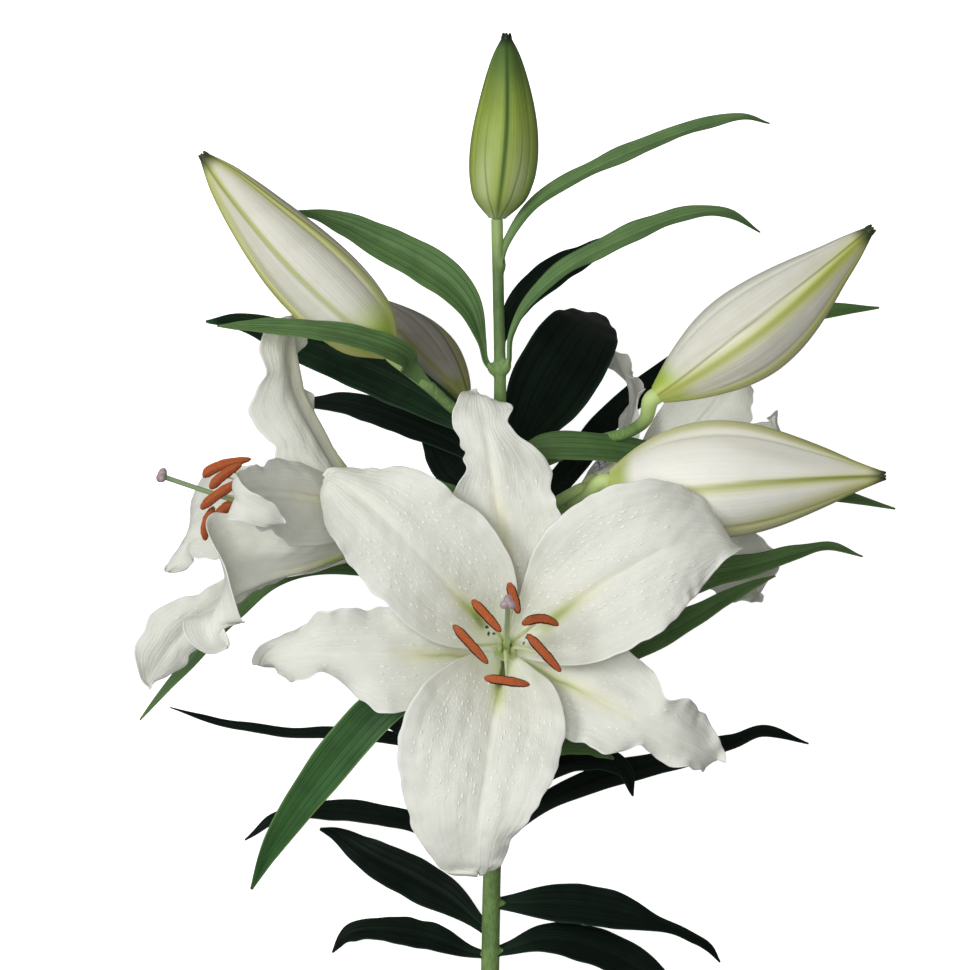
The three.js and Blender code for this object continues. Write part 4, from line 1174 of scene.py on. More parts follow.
    def colour_values(self, s: np.ndarray, u: np.ndarray, reach: np.ndarray,
                      run: np.ndarray) -> dict[str, np.ndarray]:
        """Works out where the blade is cream, green and furrowed, where light and shade are painted on it,
        and how thick the papillae stand.

        Args:
            s: Share of the length of each row.
            u: Share of the half width of each column.
            reach: Distance from the midrib at each place.
            run: Distance from the base at each place.

        Returns:
            The named values.
        """
        share = s[:, None]
        edge = np.abs(u)[None, :]
        midline = reach + 0.4 * ripple(run / 40, 3, 1.0)
        start, end = self.green_start, self.green_end
        cream = 0.7 * bell(midline, 3.4) * (1 - smooth(end, self.cream_end, share))
        cream = cream * smooth(start - 0.05, start + 0.1, share)
        breadth = (2.7 if self.inner else 1.1) * (1.25 - 0.5 * np.minimum(share / end, 1.2))
        green = self.green * bell(midline, breadth) * smooth(start - 0.03, start + 0.09, share)
        green = green * (1 - smooth(0.78 * end, 1.2 * end, share))
        furrow = self.furrow * (1 - smooth(1.2, 1.9, np.abs(midline)))
        furrow = furrow * smooth(start, start + 0.04, share) * (1 - smooth(0.68 * end, 0.86 * end, share))
        dense = smooth(0.2, 0.3, share) * (1 - smooth(0.6, 0.86, share)) * smooth(1.2, 4.0, np.abs(reach))
        dense = dense * (1 - smooth(0.6, 0.9, edge)) * self.papillae * (1.0 if self.inner else 0.35)
        # Painted highlight along the outer margin, where the thin edge catches the light.
        rim = 0.8 * smooth(0.955, 1.0, edge) * smooth(0.25, 0.4, share)
        # Painted light at the foot, left out where the throat has green or painted shadow.
        foot = (1 - smooth(0.06, 0.26, share)) * (1 - 0.95 * np.minimum(furrow + green, 1))
        # Painted shadow in the gaps at the throat: dark spots, each placed by a share of the length, an
        # offset and a size.
        painted_gap_shadow = np.zeros_like(reach)
        for place, off, size in self.painted_gap_shadows:
            away = np.hypot((run - run[-1] * place) * 0.7, reach - off)
            painted_gap_shadow = np.maximum(painted_gap_shadow, 1 - smooth(0.5 * size, size, away))
        return {"along": share, "across": u[None, :], "cream": cream, "green": green, "furrow": furrow,
                "rim": rim, "foot": foot * (1 - painted_gap_shadow), "painted_gap_shadow": painted_gap_shadow, "dense": dense}


@dataclass(frozen=True)
class Stamen:
    """A stamen: the turn at which its filament leaves the ring, and where its anther lies.

    arch lifts the anther's middle off the line between its ends, and bow moves it sideways.
    """

    turn: float
    start: Sequence[float] = ()
    end: Sequence[float] = ()
    arch: float = 1.0
    bow: float = 0.0
    reach: float = 0.0
    height: float = 0.0

    def lift(self, frame: BloomFrame) -> np.ndarray:
        """Works out how the anther bends.

        Args:
            frame: The bloom's frame.

        Returns:
            How far its middle stands off the line between its ends.
        """
        start, end = self.anther_ends(frame)
        return frame.axis * self.arch + unit(np.cross(frame.axis, end - start)) * self.bow

    def anther_ends(self, frame: BloomFrame) -> tuple[np.ndarray, np.ndarray]:
        """Places the anther: as given, or across the tip of a filament that reaches out.

        Args:
            frame: The bloom's frame.

        Returns:
            Its two ends.
        """
        if self.start:
            return np.array(self.start, float), np.array(self.end, float)
        middle = frame.place([(self.reach, self.height, self.turn)])[0]
        half = frame.outward(self.turn + 90) * 9.5
        return middle - half, middle + half


@dataclass(frozen=True)
class Bloom:
    """An open bloom: six tepals, six stamens and a pistil on a stalk.

    case says how much of the dark case shows beside the pollen on its anthers.
    """

    name: str
    base: Sequence[float]
    axis: Sequence[float]
    stalk: Points
    pistil: Points
    tepals: tuple[Tepal, ...]
    stamens: tuple[Stamen, ...]
    filament_radius: float = 0.85
    anther_radius: float = 1.9
    ring_radius: float = 2.65
    style_radii: Values = (1.7, 1.4, 1.05, 1.0, 1.05)
    stigma_radius: float = 2.9
    case: float = 1.0

    @property
    def frame(self) -> BloomFrame:
        """The bloom's frame."""
        return BloomFrame(np.array(self.base, float), unit(np.array(self.axis, float)))

    def build(self) -> None:
        """Builds and dresses every piece of the bloom."""
        skins = []
        for tepal in self.tepals:
            skin = tepal.skin(self.frame)
            skins.append(skin)
            piece = skin.to_object(f"tepal_{self.name}_{tepal.name}")
            dress(piece, TepalFinish(), [f"{self.name}_{tepal.name}"])
        warts = PAPILLAE.over(join_skins(skins), f"papillae_{self.name}")
        dress(warts, PAPILLAE.finish)
        self.build_stamens()
        self.build_pistil()

    def anther_skin(self, stamen: Stamen) -> Skin:
        """An anther: two plump sacs side by side with a furrow between, and the case along both edges.

        Args:
            stamen: The stamen that carries it.

        Returns:
            The skin.
        """
        axis = self.frame.axis
        start, end = stamen.anther_ends(self.frame)
        rows, sides = 34, 32
        share = np.linspace(0, 1, rows)
        t = 2 * share - 1
        spine = start + (end - start) * share[:, None] + stamen.lift(self.frame) * (1 - t**2)[:, None]
        heading = unit(np.gradient(spine, axis=0))
        wide = unit(np.cross(heading, axis))
        high = np.cross(wide, heading)
        turn = np.linspace(0, 2 * math.pi, sides, endpoint=False)
        fullness = (1 - np.abs(t) ** 3.0) ** 0.5
        fullness = np.maximum(fullness, 0.05) * (1 + 0.05 * ripple(share, 21, 3)) * (1.02 - 0.1 * t)
        furrow = 1 - 0.2 * bell(np.sin(turn) - 1, 0.16) - 0.12 * bell(np.sin(turn) + 1, 0.2)
        radius = self.anther_radius * fullness[:, None] * furrow[None, :]
        flat = wide[:, None] * np.cos(turn)[None, :, None] + high[:, None] * np.sin(turn)[None, :, None] * 0.8
        rings = spine[:, None] + flat * radius[..., None]
        case = smooth(0.68, 0.84, np.abs(np.cos(turn)))[None, :] + smooth(0.9, 1.0, np.abs(t))[:, None]
        case = self.case * np.minimum(case, 1)
        values = {"along": share[:, None], "case": case[:, ::-1], "dense": 1 - case[:, ::-1]}
        skin = tube_skin(spine, rings[:, ::-1], values)
        skin.values["heading"] = np.tile(unit(end - start), (len(skin.points), 1))
        return skin

    def build_stamens(self) -> None:
        """Builds the filaments and the anthers with their pollen."""
        frame = self.frame
        filaments = []
        anthers = []
        for stamen in self.stamens:
            start, end = stamen.anther_ends(frame)
            middle = (start + end) / 2 + stamen.lift(frame) - frame.axis * self.anther_radius * 0.4
            root = frame.place([(self.ring_radius, 0.2, stamen.turn)])[0]
            rise = (middle - root) @ frame.axis
            low = frame.place([(self.ring_radius + 0.8, rise * 0.4, stamen.turn)])[0]
            high = root + (middle - root) * 0.75 + frame.axis * rise * 0.06
            radii = [share * self.filament_radius for share in (1.3, 1.0, 0.85, 0.4)]
            filaments.append(swept([root, low, high, middle], radii, 14, 40))
            anthers.append(self.anther_skin(stamen))
        finish = FlowerPartFinish("lily_filament", "#EAF0BE", "#DDE6B2", 0.45)
        piece = join_skins(filaments).to_object(f"filaments_{self.name}")
        dress(piece, finish, [f"{self.name}_stamens"])
        whole = join_skins(anthers)
        dress(whole.to_object(f"anthers_{self.name}"), AntherFinish())
        dress(POLLEN.over(whole, f"pollen_{self.name}"), POLLEN.finish)

    def build_pistil(self) -> None:
        """Builds the style on its ovary and the three-lobed stigma."""
        frame = self.frame
        path = frame.place([(radius, height + GAP, turn) for radius, height, turn in self.pistil])
        style = swept(path, self.style_radii, 18, 60)
        finish = FlowerPartFinish("lily_style", "#CBDD98", "#98AF86", 0.4)
        dress(style.to_object(f"style_{self.name}"), finish, [f"{self.name}_pistil"])
        tip = path[-1]
        heading = unit(path[-1] - path[-2])
        other = unit(np.cross(heading, frame.outward(90.0)))
        wide = np.cross(other, heading)
        rows, sides = 22, 60
        turn = np.linspace(0, 2 * math.pi, sides, endpoint=False)
        level = np.linspace(-0.5 * math.pi, 0.5 * math.pi, rows + 2)[1:-1]
        lobes = 1 + 0.2 * np.cos(3 * turn)
        cleft = 1 - 0.16 * bell(np.sin(1.5 * (turn - math.pi / 3)), 0.2)
        radius = self.stigma_radius * np.cos(level)[:, None] * (lobes * cleft)[None, :]
        height = 1.9 * np.sin(level)[:, None]
        height = height + 0.5 * smooth(0.2, 1, np.sin(level))[:, None] * (lobes - 1)[None, :]
        centre = tip + heading * 0.6
        rings = centre + wide * (radius * np.cos(turn))[..., None]
        rings = rings + other * (radius * np.sin(turn))[..., None] + heading * height[..., None]
        centres = centre + heading * np.array([-1.95, 1.85])[:, None]
        values = {"along": np.linspace(0, 1, rows)[:, None]}
        stigma = tube_skin(centres, rings, values)
        finish = FlowerPartFinish("lily_stigma", "#8E9C86", "#BCA0AA", 0.3)
        dress(stigma.to_object(f"stigma_{self.name}"), finish)


PAPILLAE = Scatter("papillae", PapillaFinish(), spacing=2.6, size=0.38, stretch=2.9, flatness=0.55, seed=5)
# Real pollen is about 0.1 mm across. It is drawn coarser, so that it shows.
POLLEN = Scatter("pollen", PollenFinish(), spacing=0.42, size=0.17, stretch=1.2, flatness=0.8, seed=9,
                 density=1.2e7)

FRONT_BLOOM = Bloom(
    name="front", base=(8.6, -66, 88), axis=(0, 0.12, 0.99),
    stalk=((6, -52, 69), (7, -58, 76), (8.4, -65.5, 82)),
    pistil=((0, 0, 0), (0.6, 30, 90), (3, 60, 90), (9.6, 87, 88)),
    tepals=(
        Tepal("inner_upper_left", True, 2.6, 2.6, 0.1,
              midrib=((4.2, 0, 140), (7.6, 12, 140), (15.5, 25, 139), (30, 39, 137), (50, 48, 136),
                      (74, 50, 136), (91, 43, 137), (97, 37, 138)),
              left=(3.3, 7, 13.5, 20, 23, 23.5, 23.5, 22, 19, 14, 7),
              right=(3.3, 7, 15, 23, 27, 28, 27, 25, 19.5, 11.5, 5.5),
              green=0.95, furrow=0.35, green_start=0.15, green_end=0.33, cream_end=0.5, blunt=4.0,
              # painted shadows in the gaps at the throat
              painted_gap_shadows=((0.16, -0.6, 1.1), (0.125, 0.9, 1.2), (0.1, -1.0, 0.9))),
        Tepal("inner_upper_right", True, 2.8, 2.4, 0.45,
              midrib=((4.2, 0, 20), (7.6, 12, 21), (15.5, 25, 24), (30, 39, 28), (50, 49, 30),
                      (74, 52, 29), (91, 46, 25.5), (99, 39, 21.5)),
              left=(3.3, 7, 13.5, 21, 28, 31.5, 32, 30, 25.5, 17, 3),
              right=(3.3, 7, 14, 22, 27, 28.5, 28, 25.5, 20, 12, 3),
              green=0.85, green_start=0.2, green_end=0.38, cream_end=0.6,
              # painted shadows in the gaps at the throat
              painted_gap_shadows=((0.12, 0.4, 1.1), (0.09, -1.2, 0.9))),
        Tepal("inner_lower", True, 2.2, 2.2, 0.7,
              midrib=((4.2, 0, 262), (7.6, 12, 262), (15.5, 25, 261), (30, 38, 261), (50, 46.5, 261),
                      (72, 47, 261), (87, 40, 262), (92, 35, 263)),
              left=(3.3, 7, 14, 23, 28, 29, 27, 23, 18, 13, 9),
              right=(3.3, 7, 14, 23, 31, 35, 35.5, 33, 28, 22, 15),
              furrow=0.95, green_end=0.35, cream_end=0.45, blunt=4.0, fray=1.6,
              folds=((1.3, 6.5), (0.6, 3.0), (0.2, 1.3))),
        Tepal("outer_top", False, 3.6, 3.2, 0.2,
              midrib=((5.4, 0, 80), (9.6, 10.5, 81), (19, 21, 84), (34, 31.5, 90), (54, 38, 94),
                      (80, 37, 95.5), (97, 29, 96.5), (101, 23, 96.5)),
              left=(4.3, 5.5, 10.5, 15, 17, 17.5, 17, 11, 10, 11, 5),
              right=(4.3, 5.5, 10.5, 16, 21, 23.5, 23, 22, 10, 11, 5),
              green=0.2, green_end=0.4, cream_end=0.75),
        Tepal("outer_left", False, 4.6, 3.4, 0.55,
              midrib=((5.4, 0, 198), (9.6, 10.5, 197), (19, 21, 194), (34, 31.5, 189), (54, 38, 185.5),
                      (78, 37, 184), (93, 29, 184), (98, 23, 185)),
              left=(4.3, 5.5, 11, 18, 22, 23.5, 19.5, 8.5, 10, 7.5, 2.5),
              right=(4.3, 5.5, 11, 17, 19, 19.5, 18, 16, 13, 9, 2.5),
              green=0.6, green_end=0.38, cream_end=0.55),
        Tepal("outer_right", False, 4.2, 3.4, 0.85,
              midrib=((5.4, 0, 320), (9.6, 10.5, 321), (19, 21, 323), (34, 31.5, 326), (54, 38, 328),
                      (76, 37, 329), (90, 29, 330), (95, 23, 331)),
              left=(4.3, 5.5, 11, 18, 22, 22, 20, 14.5, 16.5, 13, 8),
              right=(4.3, 5.5, 11, 17, 19.5, 19.5, 17, 8, 9.5, 7.5, 4),
              green=0.75, green_end=0.42, cream_end=0.7),
    ),
    stamens=(
        Stamen(85, (9.4, -38.3, 148), (13.2, -50.2, 161), 0.8),
        Stamen(135, (-5.1, -45, 151), (6.3, -57.5, 155), 0.8),
        Stamen(190, (-12.5, -54.7, 152), (1.2, -70, 153), 0.8),
        Stamen(265, (-0.4, -75.5, 153), (17.6, -78.2, 153), 1.6),
        Stamen(335, (16.4, -58.3, 154), (29.7, -73.1, 153), 0.8),
        Stamen(25, (14.5, -54.7, 149), (28.9, -55.1, 150), 2.4, 2.3),
    ),
)

LEFT_BLOOM = Bloom(
    name="left", base=(-31, -20, 80), axis=(-0.95, 0.12, 0.29),
    stalk=((6.1, -34, 74), (-6, -29, 75), (-20, -22, 76)),
    pistil=((0, 0, 0), (0.5, 30, 90), (2.5, 56, 90), (5.7, 76, 90), (11, 103, 90)),
    tepals=(
        Tepal("inner_top", True, 3.4, 3.8, 0.3,
              bend=(0.2, 0.15, 0.09, 0.06, 0.055, 0.055, 0.05, 0.045, 0.035, 0.02),
              midrib=((4.2, 0, 88), (5.6, 11, 88), (9.5, 18, 88), (21, 27.5, 88), (35, 39, 88),
                      (50.6, 50.4, 88), (64, 55.4, 88), (74, 56.5, 88), (82, 55, 88)),
              left=(3.3, 5, 7, 7, 6, 6, 6, 6, 6, 6, 4),
              right=(3.3, 5, 11, 20, 27, 28, 26, 24, 21.5, 18, 8),
              twist=(0, 0, -10, -22, -30, -34, -36, -36), papillae=0.0, cream_end=1.3,
              folds=((1.3, 5.0), (0.6, 2.4), (0.25, 1.1))),
        Tepal("inner_near", True, 2, 2.4, 0.65, bend=CUPPED_BEND,
              twist=(0, 0, 0, 0, 5, 15, 25, 25, -10, -60, -60),
              midrib=((4.2, 0, -58), (5.6, 12, -58), (9.5, 22, -59), (15.1, 33, -60), (22, 46, -60),
                      (27.8, 58.6, -60), (32.3, 67.1, -60), (36.3, 73.4, -60), (41.6, 78.9, -60),
                      (47.2, 83.2, -60), (53.4, 85.4, -60), (59.4, 83.2, -60), (61.4, 77, -60)),
              left=(3.3, 5, 9, 14, 19.5, 25, 29, 31, 19, 14, 5),
              right=(3.3, 5, 8, 11, 13, 11, 7, 6, 6.5, 9, 4)),
        Tepal("inner_far", True, 2.6, 2.6, 0.15,
              midrib=((4.2, 0, 199), (6, 12, 198), (11, 30, 195), (19, 50, 192), (31, 65, 191),
                      (45, 75, 193), (52.2, 77.5, 198), (59, 83, 205)),
              left=(3.3, 5, 8.5, 12, 15, 16, 14, 12, 10, 7, 3),
              right=(3.3, 5, 9.5, 17, 22, 24, 26, 27, 27, 7, 2.5)),
        Tepal("outer_near", False, 1.8, 2.6, 0.8,
              bend=(0.15, 0.12, 0.06, 0.035, 0.03, 0.025, 0.015, 0.01, 0.01, 0.01),
              midrib=((5.4, 0, 30), (8.5, 12, 29), (15, 24, 25), (24, 41, 20), (33, 59, 15),
                      (42, 76, 10), (49, 86, 6), (56, 84, 2), (59, 75, -1), (58, 67, -3)),
              left=(4.3, 5.5, 9, 12, 15, 17, 14, 9.5, 8, 6.5, 2.5),
              right=(4.3, 5.5, 10, 15, 18, 19, 16, 11, 8, 6, 2.5)),
        Tepal("outer_low", False, 2.6, 2.6, 0.5,
              bend=(0.15, 0.12, 0.06, 0.03, 0.02, 0.01, 0, -0.01, -0.015, -0.02),
              midrib=((5.4, 0, 262), (8.5, 12, 258), (14, 25, 249), (22, 40, 240), (32, 54, 233),
                      (40.5, 62, 232), (47, 69.3, 234), (54, 76, 236), (61.3, 81.3, 239), (70.4, 85.3, 240),
                      (79, 87.7, 240), (83.7, 87.3, 240)),
              left=(4.3, 5.5, 9, 7, 2.5, 2.5, 3.5, 6, 8, 7, 2),
              right=(4.3, 5.5, 8, 8, 8, 8, 8, 8.5, 14, 12.5, 2.5),
              twist=(0, 0, 0, 0, 0, -15, -40, -60, -66, -70, -70)),
        Tepal("outer_far", False, 2.6, 2.8, 0.2, width=36,
              midrib=((5.4, 0, 142), (7.2, 10, 142), (13, 19, 145), (25, 29, 149), (34, 37, 151),
                      (42, 42, 153), (48, 43, 155), (51, 40, 156))),
    ),
    stamens=(
        Stamen(95, (-112, 3.2, 104), (-92.8, 10.4, 106), 4),
        Stamen(45, (-109.2, -1.6, 110), (-96.4, 8.4, 112), 1.5),
        Stamen(10, (-112.8, -9.6, 114), (-95.2, 2.4, 116), 1.5),
        Stamen(-50, (-111.2, -22, 108), (-107.4, -8.6, 112), 1.5),
        Stamen(-120, (-108, -14, 94), (-99, -6, 99), 1),
        Stamen(160, (-100, -8, 92), (-92, 1, 103), 1),
    ),
    anther_radius=2.35, case=0.35,
)

BACK_BLOOM = Bloom(
    name="back", base=(44.8, -1.2, 66), axis=(0.72, 0.05, -0.69),
    stalk=((6.2, -22, 77.6), (20, -12, 75), (36, -3, 71.5)),
    pistil=((0, 0, 0), (0.2, 26, 90), (0.6, 48, 90), (1.5, 66, 90)),
    tepals=(
        Tepal("inner_upper", True, 2.4, 2.6, 0.3,
              midrib=((4.2, 0, 118), (5.6, 13, 118), (10, 27, 119), (21, 40, 121), (36, 48, 124),
                      (51, 50, 126), (61, 46, 128), (65, 38, 129)),
              left=(3.3, 5, 8, 11, 14.5, 18, 18, 17, 14, 9, 3),
              right=(3.3, 5, 8.5, 13, 19, 22, 22, 20, 16, 10, 3)),
        Tepal("inner_lower", True, 2.4, 2.6, 0.6,
              midrib=((4.2, 0, 238), (5.6, 13, 238), (10, 27, 237), (21, 40, 233), (35, 48, 229),
                      (49, 52, 226), (60, 50, 224), (65, 43, 223)),
              left=(3.3, 5, 7.4, 9.5, 14, 19, 22, 20, 16, 10, 3),
              right=(3.3, 5, 8, 11, 14.5, 18, 18, 17, 14, 9, 3)),
        Tepal("inner_under", True, 1, 2.6, 0.9,
              bend=(0.2, 0.15, 0.07, 0.03, 0.014, 0.004, 0, 0, 0, 0),
              midrib=((4.2, 0, 358), (5.6, 13, 358), (9.5, 27, 358), (17, 39, 358), (25, 48, 358),
                      (33, 53.6, 358), (40, 52.5, 358), (46, 46.8, 358), (49, 39, 358)),
              left=(3.3, 5, 8, 11.5, 16, 19, 20, 18.5, 15, 10, 3),
              right=(3.3, 5, 7.4, 9.5, 13, 18, 20, 18.5, 15, 10, 3)),
        Tepal("outer_upper", False, 3, 3.4, 0.1, width=28, twist=(0, 0, -12, -24, -24, -24, -24, -24),
              midrib=((5.4, 0, 60), (7.8, 11, 60), (15, 22, 60), (27, 33, 59), (38, 42, 58),
                      (47, 46.5, 58), (54, 45, 59), (60, 38, 62))),
        Tepal("outer_side", False, 2.4, 2.8, 0.4, width=30,
              midrib=((5.4, 0, 178), (7.8, 12, 177), (15, 24, 175), (28, 35, 171), (42, 43, 167),
                      (55, 47, 162), (63, 45, 159), (66, 38, 157))),
        Tepal("outer_under", False, 2, 2.8, 0.7, width=31,
              midrib=((5.4, 0, 298), (7.8, 11, 298), (15, 21, 297), (28, 29, 296), (41, 32, 295),
                      (52, 30, 294), (59, 23, 293), (58, 14, 292))),
    ),
    stamens=tuple(Stamen(turn, reach=20, height=53) for turn in (80, 140, 200, 260, 320, 20)),
)

BLOOMS = (FRONT_BLOOM, LEFT_BLOOM, BACK_BLOOM)


# ------------------------------------------------------------------ leaves

@dataclass(frozen=True)
class Leaf:
    """A leaf: its midrib path from the stem to the tip, width, fold and roll about the midrib.

    tip_start is the share of the length from which it has its tip's colour. thickness, the keel below
    the midrib, the groove above it and the height of its lengthwise ribs are in mm.
    """

    name: str
    tone: LeafTone
    width: float
    fold: float
    roll: Values
    path: Points
    outline: Values = LEAF_OUTLINE
    tip_start: float = 0.95
    thickness: float = 0.95
    keel: float = 0.5
    groove: float = 0.35
    rib: float = 0.14
    ribs: int = 3
    rows: int = 96
    columns: int = 25

    def skin(self) -> Skin:
        """Builds the blade, with a soft fold, a faint wave along its margins and a pointed tip.

        Returns:
            The skin, with its colour values.
        """
        s = np.linspace(0, 1, self.rows)
        u = np.linspace(-1, 1, self.columns)
        place, heading, _ = stations(self.path, s)
        side = unit(np.cross([0, 0, 1], heading))
        face = np.cross(heading, side)
        roll = np.radians(along(self.roll, s))[:, None]
        across = side * np.cos(roll) + face * np.sin(roll)
        normal = face * np.cos(roll) - side * np.sin(roll)
        half = self.width * along(self.outline, s) / 2
        seed = sum(map(ord, self.name))
        reach = u[None, :] * half[:, None]
        share = s[:, None]
        soft = np.sqrt(reach**2 + 0.4) - math.sqrt(0.4)
        edge = np.abs(u)[None, :]
        swing = np.where(u[None, :] < 0, ripple(share, seed, 2.2), ripple(share, seed + 1, 2.2))
        wave = 0.045 * self.width * edge**2 * swing * smooth(0.15, 0.4, share) * (1 - smooth(0.85, 1, share))
        ribs = self.rib * np.cos(edge * self.ribs * 2 * math.pi) * (1 - edge) * smooth(0.1, 0.3, share)
        groove = -self.groove * bell(reach, 0.9) * (1 - smooth(0.8, 1, share))
        rise = self.fold * soft + wave + ribs + groove
        middle = place[:, None] + across[:, None] * reach[..., None] + normal[:, None] * rise[..., None]
        thick = 0.5 * (self.thickness - 0.5 * edge**1.5) * (1 - 0.55 * smooth(0.9, 1, share))
        keel = self.keel * bell(reach, 1.0) * (1 - smooth(0.7, 0.95, share))
        values = {
            "along": share, "across": u[None, :],
            "petiole": (1 - smooth(0.06, 0.22, share)) + 0 * edge,
            "margin": smooth(0.92, 1.0, edge) + 0 * share,
            "tip": smooth(self.tip_start, self.tip_start + 0.05, share) + 0 * edge,
        }
        return blade_skin(middle, thick + 0 * reach, thick + keel, values)

    def build(self) -> None:
        """Builds and dresses the leaf."""
        piece = self.skin().to_object(f"blade_{self.name}")
        dress(piece, self.tone.value, [self.name])


DARK, DUSK, TRAILING, MID, DEEP, YOUNG = LeafTone

